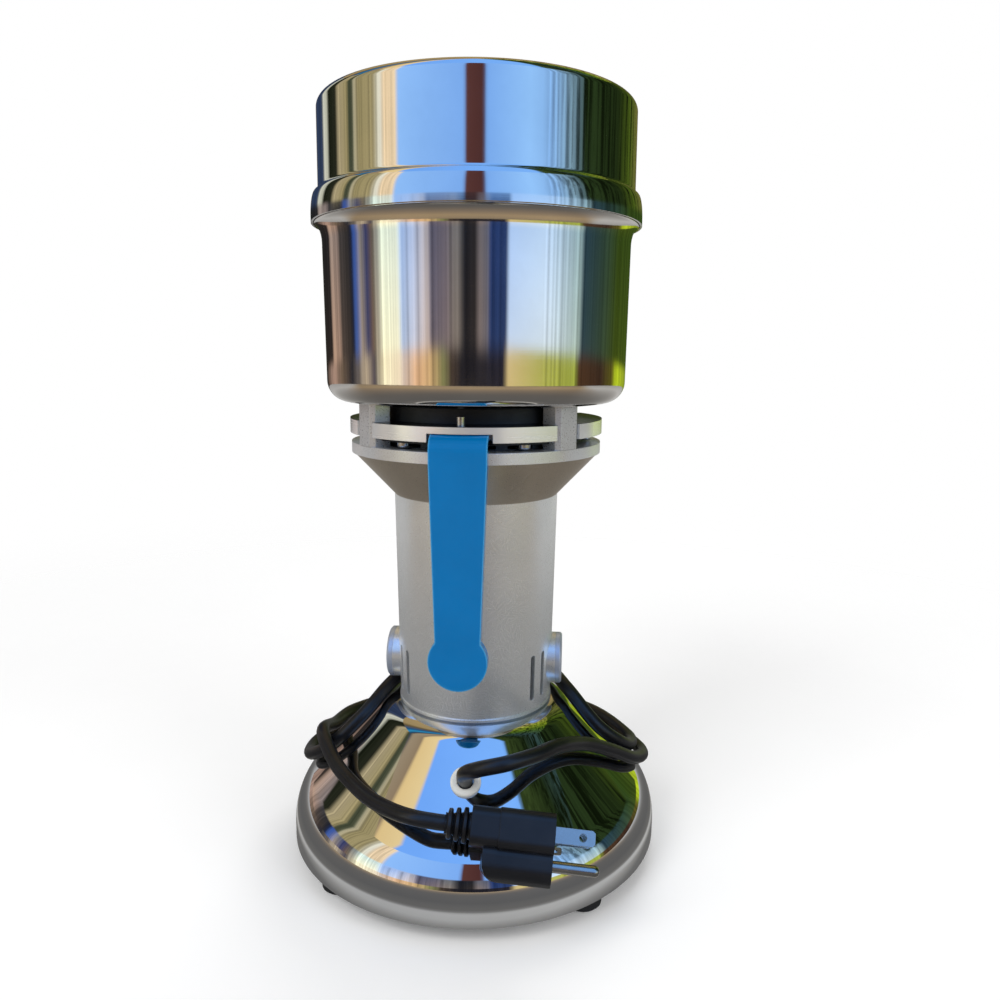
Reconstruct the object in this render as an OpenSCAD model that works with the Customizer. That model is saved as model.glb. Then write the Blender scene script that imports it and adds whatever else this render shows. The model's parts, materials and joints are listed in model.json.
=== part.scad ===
// Upright electric grain mill.
// A steel bowl with a lift-off lid stands on four posts over the motor housing,
// and the housing is bolted to the crown of a domed base with four rubber feet.
// Z is up and the origin is the centre of the base on the table.
// The handle faces -Y, the brush caps face +X and -X, the switch box faces +Y.

/* [Base] */
// Height of the base, table to the underside of the housing
base_h = 75; // [73:0.5:80]
// Radius of the base at its skirt
base_r = 93; // [90:1:97]
// Sheet thickness of the dome
dome_t = 1.2; // [1:0.1:1.6]
// Radius of the flat crown that carries the housing
crown_r = 38.5; // [38:0.5:42]
// Radius of the bend between crown and flank
crown_bend_r = 15; // [12:1:18]
// Slope of the flank below the horizontal
flank_deg = 44; // [41:1:46]
// Radius of the bend between flank and skirt
shoulder_bend_r = 30; // [24:1:34]
// Width of the hem turned in under the skirt
hem_w = 23; // [21:1:26]
// Thickness of the bottom plate
bottom_t = 1.5; // [1:0.1:2]
// Height of the rubber feet
foot_h = 6.5; // [6:0.5:8]
// Radius of the rubber feet
foot_r = 9.5; // [8:0.5:10]

/* [Motor housing] */
// Height of the housing's barrel
barrel_h = 107; // [104:1:112]
// Radius of the barrel at its foot
barrel_foot_r = 38.6; // [38:0.2:39.6]
// Radius of the barrel where the flare starts
barrel_top_r = 40.8; // [40:0.2:42]
// Height of the flare
flare_h = 21; // [18:0.5:24]
// Radius of the flange
flange_r = 61.4; // [60.6:0.2:63]
// Thickness of the flange's edge
flange_t = 5.2; // [4:0.2:7]
// Radius of the bore that holds the stator
stator_bore_r = 36; // [35.7:0.1:36.4]
// Width of a cooling slot
slot_w = 3; // [2:0.5:4]
// Height of a cooling slot
slot_h = 23; // [16:1:25]

/* [Bowl and its support] */
// Gap between flange and bearing plate
plate_gap = 4.4; // [4.2:0.2:6]
// Thickness of the bearing plate
plate_t = 7; // [6.6:0.2:9]
// Radius of the bearing plate
plate_r = 62; // [61.6:0.2:64]
// Thickness of the seat between bearing plate and bowl
seat_t = 7.9; // [6:0.1:10]
// Radius of the seat
seat_r = 49; // [44:1:50]
// Width of a post
post_w = 14; // [12:0.5:15]
// Depth of a post, towards the axis
post_d = 9.5; // [8.5:0.25:10]
// Distance of the posts from the axis
post_pitch_r = 57; // [56.5:0.25:57.5]
// Height of the bowl
bowl_h = 83.5; // [78:0.5:92]
// Outer radius of the bowl at its bottom bend
bowl_low_r = 72.6; // [71:0.2:73]
// Outer radius of the bowl below its rim
bowl_high_r = 73.6; // [73.4:0.2:74.6]
// Radius of the bowl's bottom bend
bowl_bend_r = 10; // [6:1:12]
// Radius of the bowl's rim
rim_r = 77.2; // [76.6:0.2:78]
// Wall of the bowl
bowl_t = 1.4; // [1:0.1:1.8]

/* [Lid] */
// Height of the lid above its crease
lid_h = 41.5; // [34:0.5:50]
// Height of the flared skirt below the crease
skirt_h = 13.4; // [12:0.2:16]
// Radius of the lid's wall
lid_r = 75; // [74.6:0.2:76]
// Radius of the skirt's lip
lip_r = 78.5; // [78.4:0.1:80]
// Radius of the lid's top edge
lid_bend_r = 4; // [3:0.5:8]
// Sheet thickness of the lid
lid_t = 1; // [0.8:0.1:1.2]
// Depth of the ring that plugs the bowl
plug_ring_h = 9; // [8:0.5:12]

/* [Handle] */
// Width of the strap at the top
handle_top_w = 25.4; // [24:0.2:27]
// Width of the strap at its neck
handle_neck_w = 20.2; // [18:0.2:22]
// Radius of the round end
handle_end_r = 13.3; // [12:0.1:14]
// Distance of the strap's outer face from the axis
handle_reach = 66.5; // [65.5:0.5:70]
// Height of the lower end above the housing's foot
handle_foot = 28; // [24:1:34]
// Sheet thickness of the strap
handle_t = 2.2; // [1.8:0.1:2.4]
// Depth of the turned-in edge
handle_edge = 5; // [4:0.5:6]

/* [Grinding] */
// Radius swept by the lowest blade
low_blade_r = 60; // [50:1:64]
// Radius swept by the middle blade
mid_blade_r = 54; // [46:1:58]
// Radius swept by the top blade
top_blade_r = 50; // [42:1:54]
// Thickness of a blade
blade_t = 2.5; // [2:0.25:3]
// Height of the spacers between blades
spacer_h = 8; // [6:0.5:10]
// Radius of the motor shaft
shaft_r = 5; // [4.8:0.1:5.2]

/* [Motor] */
// Length of the stator and armature stacks
stack_h = 38; // [32:1:40]
// Radius of the armature
armature_r = 21.9; // [21:0.1:22.2]
// Number of armature slots
armature_slots = 12; // [8:1:16]
// Radius of the commutator
commutator_r = 13; // [12:0.5:13.5]
// Number of commutator bars
commutator_bars = 24; // [16:1:30]
// Height of the brushes above the housing's foot
brush_h = 21; // [20:0.5:22]
// Radius of the bosses and caps over the brushes
brush_cap_r = 12.8; // [11:0.2:13]
// Distance of a brush cap's face from the axis
brush_cap_reach = 44.5; // [44:0.5:46]
// Radius of the cooling fan
fan_r = 33; // [28:0.5:34]
// Number of fan blades
fan_blades = 10; // [7:1:13]

/* [Switch box] */
// Width of the box
box_w = 48; // [46:1:52]
// Height of the box
box_h = 66; // [66:1:76]
// Distance of the box's face from the axis
box_face = 58; // [58:0.5:62]
// Wall of the box
box_t = 2.2; // [1.8:0.1:2.6]
// Radius of the timer knob
knob_r = 13; // [11:0.5:14]
// Travel of the reset button
reset_travel = 3; // [2:0.5:3]

/* [Cord] */
// Diameter of the cord
cord_d = 6.8; // [6:0.1:7]
// Distance of the grommet from the axis
grommet_r = 62; // [58:0.5:66]

/* [Hidden] */
$fn = 72;
// clearances
run_fit = 0.04;
slip_fit = 0.1;
loose_fit = 0.3;
// heights of the stack, from the table up
hem_z = foot_h + bottom_t;
barrel_z = base_h;
flare_z = barrel_z + barrel_h;
flange_z = flare_z + flare_h;
flange_top = flange_z + flange_t;
plate_z = flange_top + plate_gap;
plate_top = plate_z + plate_t;
bowl_z = plate_top + seat_t;
floor_z = bowl_z + bowl_t;
rim_z = bowl_z + bowl_h;
lip_lap = 1;
rim_flare_h = 9;
crease_fillet = 1.6;
crease_z = rim_z - lip_lap + skirt_h;
lid_top = crease_z + lid_h;
// the dome's outline
flank_top = [crown_r + crown_bend_r * sin(flank_deg), base_h - crown_bend_r * (1 - cos(flank_deg))];
shoulder_x = base_r - shoulder_bend_r;
flank_foot_x = shoulder_x + shoulder_bend_r * sin(flank_deg);
flank_foot_z = flank_top[1] - (flank_foot_x - flank_top[0]) * tan(flank_deg);
shoulder_z = flank_foot_z - shoulder_bend_r * cos(flank_deg);
wire_hole_r = 12;
// fasteners
m4_r = 2;
m3_r = 1.5;
head_h = 2.4;
// feet
foot_pitch_r = base_r - foot_r - 3;
foot_seat = foot_h - 3.1;
vent_hole_r = 4;
// grommet
grommet_turn = 3;
grommet_z = flank_top[1] - (grommet_r - flank_top[0]) * tan(flank_deg);
grommet_bore_r = cord_d / 2 + 0.2;
grommet_neck_r = cord_d / 2 + 1.8;
grommet_flange_r = cord_d / 2 + 3.6;
grommet_flange_t = 2.4;
grommet_depth = 18;
// housing
bolt_pitch_r = 31.5;
bolt_angles = [-30, 30, 150, 210];
bracket_t = 4;
boss_top = barrel_z + 18;
stator_z = barrel_z + 37;
lower_bore_r = stator_bore_r - 1;
brush_z = barrel_z + brush_h;
brush_bore_r = 7;
brush_boss_reach = brush_cap_reach - 3;
slot_angles = [52.5, 65];
guide_r = 50;
guide_bore_r = guide_r - 4;
ledge_z = flange_z + 0.4;
flare_wall = 5.6;
// shaft and bearings
lower_journal_r = shaft_r - 1;
lower_bearing_r = 11;
lower_bearing_h = 7;
lower_bearing_z = barrel_z + 3;
upper_bearing_r = 15;
upper_bearing_h = 9;
upper_bearing_z = plate_top - 4.5 - upper_bearing_h;
hub_r = 20;
thread_r = shaft_r - 1;
seal_hub_r = 12;
seal_hub_top = floor_z + 6;
blade_z = seal_hub_top + 3;
shaft_top = blade_z + 3 * blade_t + 2 * spacer_h + 9;
// plate screws, handle notch and posts
post_angles = [-131, -49, 49, 131];
post_gap = 0.4;
post_thread = 5.5;
plate_screw_angles = [-150, -90, -30, 30, 90, 150];
plate_screw_pitch_r = 54;
plate_thread = plate_t - 2;
guide_t = 1.5;
notch_web = 3.2;
notch_z = plate_top - notch_web;
notch_w = handle_top_w + 3.4;
handle_screw_inset = 6;
handle_screw_pitch_r = plate_r - handle_screw_inset;
handle_tab_top = notch_z - 0.2;
handle_tab_in = handle_screw_pitch_r - handle_screw_inset;
// motor
brush = [14, 6.4, 8];
holder_w = 8.4;
holder_h = 10;
fan_z = stator_z + stack_h + 12;
fan_t = 1.6;
fan_h = 10;
fan_hub_r = 10;
commutator_z = brush_z - 8;
// switch box
box_z = flare_z - box_h - 5;
bezel_w = 15;
bezel_h = 21;
dial_r = knob_r + 2.5;
dial_gap = 2;
switch_z = box_z + box_h - 14;
switch_x = -box_w / 2 + 16.5;
timer_z = switch_z - bezel_h / 2 - dial_gap - dial_r;
reset_z = switch_z - 2;
reset_x = box_w / 2 - 11.5;
box_screw_x = box_w / 2 - 4.5;
box_screw_z = [box_z + 5, box_z + box_h - 5];
dial_bore_r = 4.7;
movement = [27, 20, 13];
breaker = [14, 11, 12];
breaker_r = 5.5;
rocker_w = bezel_w - 4.6;
rocker_half = (bezel_h - 5) / 2;
rocker_tilt = 10;
spindle_r = 3;
reset_r = 3.95;
// cord and plug
cord_sides = 10;
cord_sunk = 3;
plug_turn = 4;
plug_tilt = 6;
plug_roll = 35;
plug_len = 35;
plug_w = 25;
plug_h = 16.5;
relief_len = 11;
ribs = 3;
pin_drop = 11.9;
barrel_w = 17;
blade_spread = 12.7;
cord_points = [
    [3.3, -63.6, 59.9], [3.8, -70, 66.5], [11, -77.5, 73], [23, -78, 76.5], [35, -69, 76.5],
    [45, -54, 74], [57, -34, 66], [70.5, -18, 55.5], [82, -3.5, 45], [88.5, 16.5, 38],
    [83, 37, 35.5], [62, 66.5, 35.5], [25, 87.5, 35.5], [-15, 90, 35.5], [-53, 74, 35.5],
    [-80, 43.5, 35.5], [-90, 17, 36], [-86.5, -9, 41], [-72, -22, 52], [-55, -19, 68.5],
    [-44.5, 0, 78.6], [-37, 26, 78.6], [-14, 43.5, 78.6], [15, 43.5, 78.6], [37, 26.5, 78.6],
    [48, 4, 77.4], [63.5, -6.5, 63], [78.5, 2, 49.5], [81, 25, 43.5], [61, 60, 42],
    [24, 82, 42], [-16, 84, 42], [-52, 67, 42.5], [-73.5, 34, 47], [-77, 6, 51.5],
    [-75.5, -21.5, 59.5], [-63, -43, 54.5], [-50.5, -57.5, 52], [-38, -71.5, 52.5], [-26, -82, 54],
    [-15.5, -88, 55], [-5, -88.5, 54]
];

// ---- shared functions and helper shapes ----

// points on an arc, from angle a0 to a1
function arc(cx, cy, r, a0, a1, n = 6) =
    [for (i = [0:n]) let (a = a0 + (a1 - a0) * i / n) [cx + r * cos(a), cy + r * sin(a)]];
function reversed(v) = [for (i = [len(v) - 1:-1:0]) v[i]];
// radius of the barrel's outside at height z
function barrel_radius(z) =
    barrel_foot_r + (barrel_top_r - barrel_foot_r) * (z - barrel_z) / barrel_h;

// a place on a circle about the axis: 0 is the front (-Y), positive towards +X
module at_angle(a, r = 0) rotate([0, 0, a]) translate([0, -r, 0]) children();
module tube(r_out, r_in, h) linear_extrude(h) difference() {
    circle(r_out);
    circle(r_in);
}
// a cylinder whose axis runs along +Y from y0 to y1
module along_y(r, y0, y1) translate([0, y0, 0]) rotate([-90, 0, 0]) cylinder(r = r, h = y1 - y0);
// a cylinder whose axis runs along +X from x0 to x1
module along_x(r, x0, x1) translate([x0, 0, 0]) rotate([0, 90, 0]) cylinder(r = r, h = x1 - x0);
// rectangle with round corners, centred
module round_rect(w, h, r) {
    square([w - 2 * r, h], center = true);
    square([w, h - 2 * r], center = true);
    for (x = [-1, 1], y = [-1, 1]) translate([x * (w / 2 - r), y * (h / 2 - r)]) circle(r);
}
// round-cornered block: w along X, h along Z, from y0 to y1
module block_y(w, h, r, y0, y1)
    translate([0, y1, 0]) rotate([90, 0, 0]) linear_extrude(y1 - y0) round_rect(w, h, r);
// pan-head screw with its head's seat at z = 0, shank pointing down
module pan_screw(r, len) {
    translate([0, 0, -len]) cylinder(r = r, h = len);
    difference() {
        rotate_extrude() polygon(concat([[0, 0], [2 * r, 0]],
            arc(2 * r - 1, head_h - 1, 1, 0, 90), [[0, head_h]]));
        for (a = [0, 90]) rotate([0, 0, a]) translate([-0.4, -r, head_h - 1]) cube([0.8, 2 * r, 2]);
    }
}
// the post's section, a bar with chamfered outer corners; grow adds clearance
module post_section(grow = 0) {
    w = post_w / 2 + grow;
    d = post_d / 2 + grow;
    c = 2;
    polygon([[-w, d], [w, d], [w, -d + c], [w - c, -d], [-w + c, -d], [-w, -d + c]]);
}
// slots that let the posts pass through a disc between z0 and z1
module post_slots(z0, z1) for (a = post_angles) at_angle(a, post_pitch_r) translate([0, 0, z0])
    linear_extrude(z1 - z0) {
        post_section(post_gap);
        translate([-post_w / 2 - post_gap, -post_d * 1.5]) square([post_w + 2 * post_gap, post_d * 1.5]);
    }

// ---- base ----

// one side of the dome's sheet, inset from the outside
function dome_line(inset) = concat(
    arc(crown_r, base_h - crown_bend_r, crown_bend_r - inset, 90, 90 - flank_deg, 5),
    arc(shoulder_x, shoulder_z, shoulder_bend_r - inset, 90 - flank_deg, 0, 8)
);
module base_dome() color("gainsboro") difference() {
    rotate_extrude() polygon(concat(
        [[wire_hole_r, base_h]], dome_line(0),
        [[base_r, hem_z], [base_r - hem_w, hem_z]],
        [[base_r - hem_w, hem_z + dome_t], [base_r - dome_t, hem_z + dome_t]],
        reversed(dome_line(dome_t)), [[wire_hole_r, base_h - dome_t]]
    ));
    for (a = bolt_angles) at_angle(a, bolt_pitch_r) translate([0, 0, base_h - 5])
        cylinder(r = m4_r + slip_fit, h = 10);
    foot_places() translate([0, 0, hem_z - 1]) cylinder(r = m4_r + slip_fit, h = 5);
    at_grommet() translate([0, 0, -6]) cylinder(r = grommet_neck_r + 0.2, h = 10);
}
module foot_places() for (a = [45:90:315]) at_angle(a, foot_pitch_r) children();
module bottom_plate() color("darkgray") translate([0, 0, foot_h]) linear_extrude(bottom_t) difference() {
    circle(base_r - 2);
    circle(10);
    foot_places() circle(m4_r + slip_fit);
    for (i = [0:11], r = [30, 48]) rotate(i * 30 + r) translate([r, 0]) circle(vent_hole_r);
}
module rubber_feet() color("dimgray") foot_places() rotate_extrude() polygon([
    [m4_r + slip_fit, foot_seat], [2 * m4_r + 0.8, foot_seat], [2 * m4_r + 0.8, 0],
    [foot_r - 1.4, 0], [foot_r - 0.6, 0.8], [foot_r, foot_h], [m4_r + slip_fit, foot_h]
]);
module foot_screws() color("silver") foot_places() {
    nut_z = hem_z + dome_t;
    translate([0, 0, foot_seat]) mirror([0, 0, 1]) pan_screw(m4_r, nut_z - foot_seat + 0.5);
    translate([0, 0, nut_z]) cylinder(r = 3.9, h = 3, $fn = 6);
}
// local Z points straight out of the flank, and z = 0 lies on its outside
module at_grommet() rotate([0, 0, grommet_turn]) translate([0, -grommet_r, grommet_z])
    rotate([flank_deg, 0, 0]) children();
module cord_grommet() color("whitesmoke") at_grommet() rotate_extrude() polygon(concat(
    [[grommet_bore_r, -grommet_depth], [grommet_bore_r + 1, -grommet_depth]],
    [[grommet_neck_r + 0.6, -dome_t - 0.7], [grommet_neck_r, -dome_t - 0.3], [grommet_neck_r, 0]],
    [[grommet_flange_r, 0]],
    arc(grommet_flange_r - 1.4, grommet_flange_t - 1.4, 1.4, 0, 90, 4),
    arc(grommet_bore_r + 0.8, grommet_flange_t - 0.8, 0.8, 90, 180, 3)
));

// ---- cord and plug ----

// smooth curve through the route's points, with a ring at each step
cord_steps = 2;
function spline(p, i, t) =
    let (a = p[max(i - 1, 0)], b = p[i], c = p[i + 1], d = p[min(i + 2, len(p) - 1)])
    0.5 * (2 * b + (c - a) * t + (2 * a - 5 * b + 4 * c - d) * t * t + (3 * b - a - 3 * c + d) * t * t * t);
plug_axis = [cos(plug_tilt) * cos(plug_turn), cos(plug_tilt) * sin(plug_turn), -sin(plug_tilt)];
// the curve starts inside the grommet and runs straight into the plug's relief
cord_end = cord_points[len(cord_points) - 1] + cord_sunk * plug_axis;
cord_start = [grommet_r * sin(grommet_turn), -grommet_r * cos(grommet_turn), grommet_z]
    - cord_sunk * [sin(flank_deg) * sin(grommet_turn), -sin(flank_deg) * cos(grommet_turn), cos(flank_deg)];
cord_path = concat(
    [cord_start],
    [for (i = [0:len(cord_points) - 2], s = [0:cord_steps - 1]) spline(cord_points, i, s / cord_steps)],
    [cord_points[len(cord_points) - 1], cord_end]
);
function unit(v) = v / norm(v);
function tangent(p, i) = unit(p[min(i + 1, len(p) - 1)] - p[max(i - 1, 0)]);
// a frame carried along the path without twist: [sideways direction] for each ring
function carried(p, i, side) =
    let (t = tangent(p, i), s = unit(side - (side * t) * t))
    i == len(p) - 1 ? [s] : concat([s], carried(p, i + 1, s));
module swept_tube(p, r, sides) {
    side = carried(p, 0, [1, 0.1, 0]);
    rings = [for (i = [0:len(p) - 1]) let (t = tangent(p, i), u = side[i], v = cross(t, u))
        for (k = [0:sides - 1]) p[i] + r * (cos(360 * k / sides) * u + sin(360 * k / sides) * v)];
    n = len(p);
    skin = [for (i = [0:n - 2], k = [0:sides - 1]) let (k2 = (k + 1) % sides)
        [i * sides + k, (i + 1) * sides + k, (i + 1) * sides + k2, i * sides + k2]];
    polyhedron(rings, concat([[for (k = [0:sides - 1]) k]], skin,
        [[for (k = [sides - 1:-1:0]) (n - 1) * sides + k]]));
}
module power_cord() color("black") swept_tube(cord_path, cord_d / 2, cord_sides);

// local X runs along the plug towards its blades, x = 0 is the back of the body
module at_plug() translate(cord_end + relief_len * plug_axis)
    rotate([-plug_roll, plug_tilt, plug_turn]) children();
module plug_relief() color("black") at_plug() rotate([0, -90, 0]) rotate_extrude() polygon(concat(
    [[0, 0], [cord_d / 2 + 2.2, 0]],
    [for (i = [0:ribs - 1]) let (x = 1.2 + i * (relief_len - 1.2) / ribs, r = cord_d / 2 + 3.9 - 0.5 * i)
        each [[r - 2, x], [r - 0.5, x + 0.2], [r, x + 0.7],
            [r - 0.1, x + 1.9], [r - 0.6, x + 2.2], [r - 2.1, x + 2.4]]],
    [[cord_d / 2 + 1, relief_len], [0, relief_len]]
));
// a block with a slightly larger front, over the round-backed barrel of the earth pin
module plug_body() color("black") at_plug() {
    rotate([0, 90, 0]) linear_extrude(plug_len) round_rect(plug_h - 0.8, plug_w - 0.8, 4);
    translate([plug_len * 0.34, 0, 0]) rotate([0, 90, 0])
        linear_extrude(plug_len * 0.66) round_rect(plug_h, plug_w, 4);
    intersection() {
        translate([0, 0, -pin_drop]) rotate([0, 90, 0])
            linear_extrude(plug_len) round_rect(barrel_w, barrel_w, 7);
        rotate([90, 0, 0]) translate([0, 0, -barrel_w]) linear_extrude(2 * barrel_w) polygon(concat(
            [[plug_len * 0.17, 0]],
            arc(plug_len * 0.17 + 7, -pin_drop - barrel_w / 2 + 7, 7, 180, 270),
            [[plug_len, -pin_drop - barrel_w / 2], [plug_len, 0]]
        ));
    }
}
module plug_blades() color("silver") at_plug() for (y = [-1, 1] * blade_spread / 2) difference() {
    translate([plug_len, y, 0]) rotate([90, 0, 0]) translate([0, 0, -0.75]) linear_extrude(1.5)
        polygon([[0, -3.2], [16, -3.2], [17.2, -2.2], [17.2, 2.2], [16, 3.2], [0, 3.2]]);
    translate([plug_len + 12, 0, 0]) along_y(1.6, -12, 12);
}
module plug_ground_pin() color("silver") at_plug() translate([plug_len, 0, -pin_drop])
    rotate([0, 90, 0]) rotate_extrude()
        polygon(concat([[0, 0], [2.4, 0]], arc(0, 18.2, 2.4, 0, 90), [[0, 20.6]]));

// ---- motor housing ----

module motor_housing() color("silver") difference() {
    union() {
        rotate_extrude() polygon([
            [lower_bore_r, barrel_z], [barrel_foot_r - 0.8, barrel_z],
            [barrel_foot_r + 0.5, barrel_z + 0.9], [barrel_foot_r + 0.5, barrel_z + 2],
            [barrel_radius(barrel_z + 2.4), barrel_z + 2.4],
            [barrel_top_r, flare_z], [flange_r - 0.8, flange_z], [flange_r, flange_z],
            [flange_r, flange_top], [guide_r + 0.2, flange_top], [guide_r + 0.2, ledge_z],
            [guide_bore_r, ledge_z], [guide_bore_r, flare_z + (guide_bore_r + flare_wall - barrel_top_r)
                * flare_h / (flange_r - 0.8 - barrel_top_r)],
            [stator_bore_r, flare_z + (stator_bore_r + flare_wall - barrel_top_r)
                * flare_h / (flange_r - 0.8 - barrel_top_r)],
            [stator_bore_r, stator_z], [lower_bore_r, stator_z]
        ]);
        for (a = bolt_angles) at_angle(a, bolt_pitch_r) translate([0, 0, barrel_z + bracket_t])
            cylinder(r = 4.2, h = boss_top - barrel_z - bracket_t);
        for (s = [0, 180]) rotate([0, 0, s]) translate([0, 0, brush_z])
            along_x(brush_cap_r, lower_bore_r + 0.5, brush_boss_reach);
    }
    for (a = bolt_angles) at_angle(a, bolt_pitch_r) translate([0, 0, barrel_z])
        cylinder(r = m4_r + run_fit, h = 16);
    translate([0, 0, brush_z]) along_x(brush_bore_r, -60, 60);
    for (a = slot_angles, s = [0, 180], m = [-1, 1]) rotate([0, 0, s + m * a]) cooling_slot();
    for (a = post_angles) at_angle(a, post_pitch_r) translate([0, 0, flange_top - post_thread])
        cylinder(r = m4_r + run_fit, h = post_thread + 1);
    for (x = [-1, 1], z = box_screw_z) translate([x * box_screw_x, 0, z]) along_y(m3_r + run_fit, 28, 45);
}
module cooling_slot() translate([0, -45, barrel_z + 7 + slot_h / 2]) rotate([-90, 0, 0])
    linear_extrude(15) round_rect(slot_w, slot_h, slot_w / 2 - 0.01);
module housing_bolts() color("dimgray") for (a = bolt_angles) at_angle(a, bolt_pitch_r)
    translate([0, 0, base_h - dome_t]) mirror([0, 0, 1]) pan_screw(m4_r, dome_t + 15);

// ---- lower bearing and brushes ----

module lower_bracket() color("lightgray") translate([0, 0, barrel_z]) difference() {
    union() {
        tube(lower_bore_r - slip_fit, 26, bracket_t);
        for (a = [0, 90]) rotate([0, 0, a]) translate([-28, -5, 0]) cube([56, 10, bracket_t]);
        cylinder(r = lower_bearing_r + 2.6, h = lower_bearing_z - barrel_z + lower_bearing_h);
    }
    translate([0, 0, -1]) cylinder(r = lower_journal_r + 2, h = 20);
    translate([0, 0, lower_bearing_z - barrel_z]) cylinder(r = lower_bearing_r + 0.02, h = 20);
    for (a = bolt_angles) at_angle(a, bolt_pitch_r) translate([0, 0, -1])
        cylinder(r = m4_r + slip_fit, h = bracket_t + 2);
}
// a shielded ball bearing: outer ring, inner ring and the shields between them
module ball_bearing(r_out, r_in, h) rotate_extrude() difference() {
    translate([r_in, 0]) square([r_out - r_in, h]);
    for (z = [-1, h - 0.6]) translate([r_in + 1.8, z]) square([r_out - r_in - 3.8, 1.6]);
}
module lower_bearing() color("gray") translate([0, 0, lower_bearing_z])
    ball_bearing(lower_bearing_r, lower_journal_r + 0.03, lower_bearing_h);
module both_brushes() for (s = [0, 180]) rotate([0, 0, s]) translate([0, 0, brush_z]) children();
module brush_holders() color("goldenrod") both_brushes() difference() {
    union() {
        translate([commutator_r + 2, -holder_w / 2, -holder_h / 2])
            cube([brush_boss_reach - commutator_r - 4, holder_w, holder_h]);
        along_x(brush_bore_r - slip_fit, lower_bore_r, brush_boss_reach - 2);
    }
    translate([0, -brush[1] / 2 - slip_fit, -brush[2] / 2 - slip_fit])
        cube([brush_cap_reach, brush[1] + 2 * slip_fit, brush[2] + 2 * slip_fit]);
}
module carbon_brushes() color("dimgray") both_brushes()
    translate([commutator_r + loose_fit, -brush[1] / 2, -brush[2] / 2]) cube(brush);
module brush_springs() color("silver") both_brushes() {
    x0 = commutator_r + loose_fit + brush[0] + 0.4;
    x1 = brush_boss_reach - 2.4;
    turns = 5;
    n = turns * 8;
    wire_r = 0.4;
    coil_r = 2.3;
    swept_tube([for (i = [0:n]) let (a = 360 * turns * i / n)
        [x0 + (x1 - x0) * i / n, coil_r * cos(a), coil_r * sin(a)]], wire_r, 6);
}
module brush_caps() color("silver") both_brushes() difference() {
    union() {
        along_x(brush_bore_r - 0.2, brush_boss_reach - 1.9, brush_boss_reach + 1);
        translate([brush_boss_reach, 0, 0]) rotate([0, 90, 0]) cylinder(r = brush_cap_r, h = 2.2);
        translate([brush_boss_reach + 2.2, 0, 0]) rotate([0, 90, 0])
            cylinder(r1 = brush_cap_r, r2 = brush_cap_r - 0.8,
                h = brush_cap_reach - brush_boss_reach - 2.2);
    }
    translate([brush_cap_reach - 1.2, -1, -8]) cube([3, 2, 16]);
}

// ---- stator ----

pole_half_deg = 62;
pole_neck = 12;
shoe_out_r = armature_r + 4.1;
yoke_in_r = stator_bore_r - 4.6;
module stator_core() color("slategray") translate([0, 0, stator_z]) linear_extrude(stack_h) difference() {
    union() {
        difference() {
            circle(stator_bore_r - run_fit);
            circle(yoke_in_r);
        }
        for (s = [0, 180]) rotate(s) {
            translate([armature_r + 2, -pole_neck]) square([yoke_in_r - armature_r - 1, 2 * pole_neck]);
            intersection() {
                circle(shoe_out_r);
                polygon([[0, 0], [60, -60 * tan(pole_half_deg)], [60, 60 * tan(pole_half_deg)]]);
            }
        }
    }
    circle(armature_r + 0.7);
}
// each coil is a curved frame wound round one pole's neck
module field_coils() color("peru") for (s = [0, 180]) rotate([0, 0, s]) difference() {
    translate([0, 0, stator_z - 6]) linear_extrude(stack_h + 12) intersection() {
        difference() {
            circle(yoke_in_r - 0.2);
            circle(shoe_out_r + 0.2);
        }
        polygon([[0, 0], [60, -60 * tan(54)], [60, 60 * tan(54)]]);
    }
    translate([0, -pole_neck - 0.2, stator_z - 0.2]) cube([60, 2 * pole_neck + 0.4, stack_h + 0.4]);
}

// ---- rotor ----

module motor_shaft() color("lightgray") rotate_extrude() polygon([
    [0, lower_bearing_z - 0.4], [lower_journal_r, lower_bearing_z - 0.4],
    [lower_journal_r, lower_bearing_z + lower_bearing_h], [shaft_r, lower_bearing_z + lower_bearing_h],
    [shaft_r, blade_z], [thread_r, blade_z],
    [thread_r, shaft_top - 1], [thread_r - 1, shaft_top], [0, shaft_top]
]);
module commutator() color("chocolate") translate([0, 0, commutator_z]) difference() {
    union() {
        tube(commutator_r, shaft_r + 0.02, 16);
        translate([0, 0, 14]) tube(commutator_r + 1.6, shaft_r + 0.02, 2);
    }
    for (i = [0:commutator_bars - 1]) rotate([0, 0, 360 * i / commutator_bars])
        translate([commutator_r - 1, -0.3, -1]) cube([5, 0.6, 18]);
}
slot_pitch_r = armature_r - 5.6;
slot_r = 2.9;
module armature_core() color("gray") translate([0, 0, stator_z]) linear_extrude(stack_h) difference() {
    circle(armature_r);
    circle(shaft_r + 0.02);
    for (i = [0:armature_slots - 1]) rotate(360 * i / armature_slots) {
        translate([slot_pitch_r, 0]) circle(slot_r);
        translate([slot_pitch_r, -0.9]) square([10, 1.8]);
    }
}
module armature_winding() color("peru") {
    for (z = [stator_z - 7, stator_z + stack_h]) translate([0, 0, z]) rotate_extrude()
        polygon(concat([[shaft_r + 1.2, 0], [slot_pitch_r + 3.4, 0]],
            arc(slot_pitch_r, 3.6, 3.4, 0, 90), [[shaft_r + 3, 7], [shaft_r + 1.2, 5]]));
    for (i = [0:armature_slots - 1]) rotate([0, 0, 360 * i / armature_slots])
        translate([slot_pitch_r, 0, stator_z - 2]) cylinder(r = slot_r - slip_fit, h = stack_h + 4);
}
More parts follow.
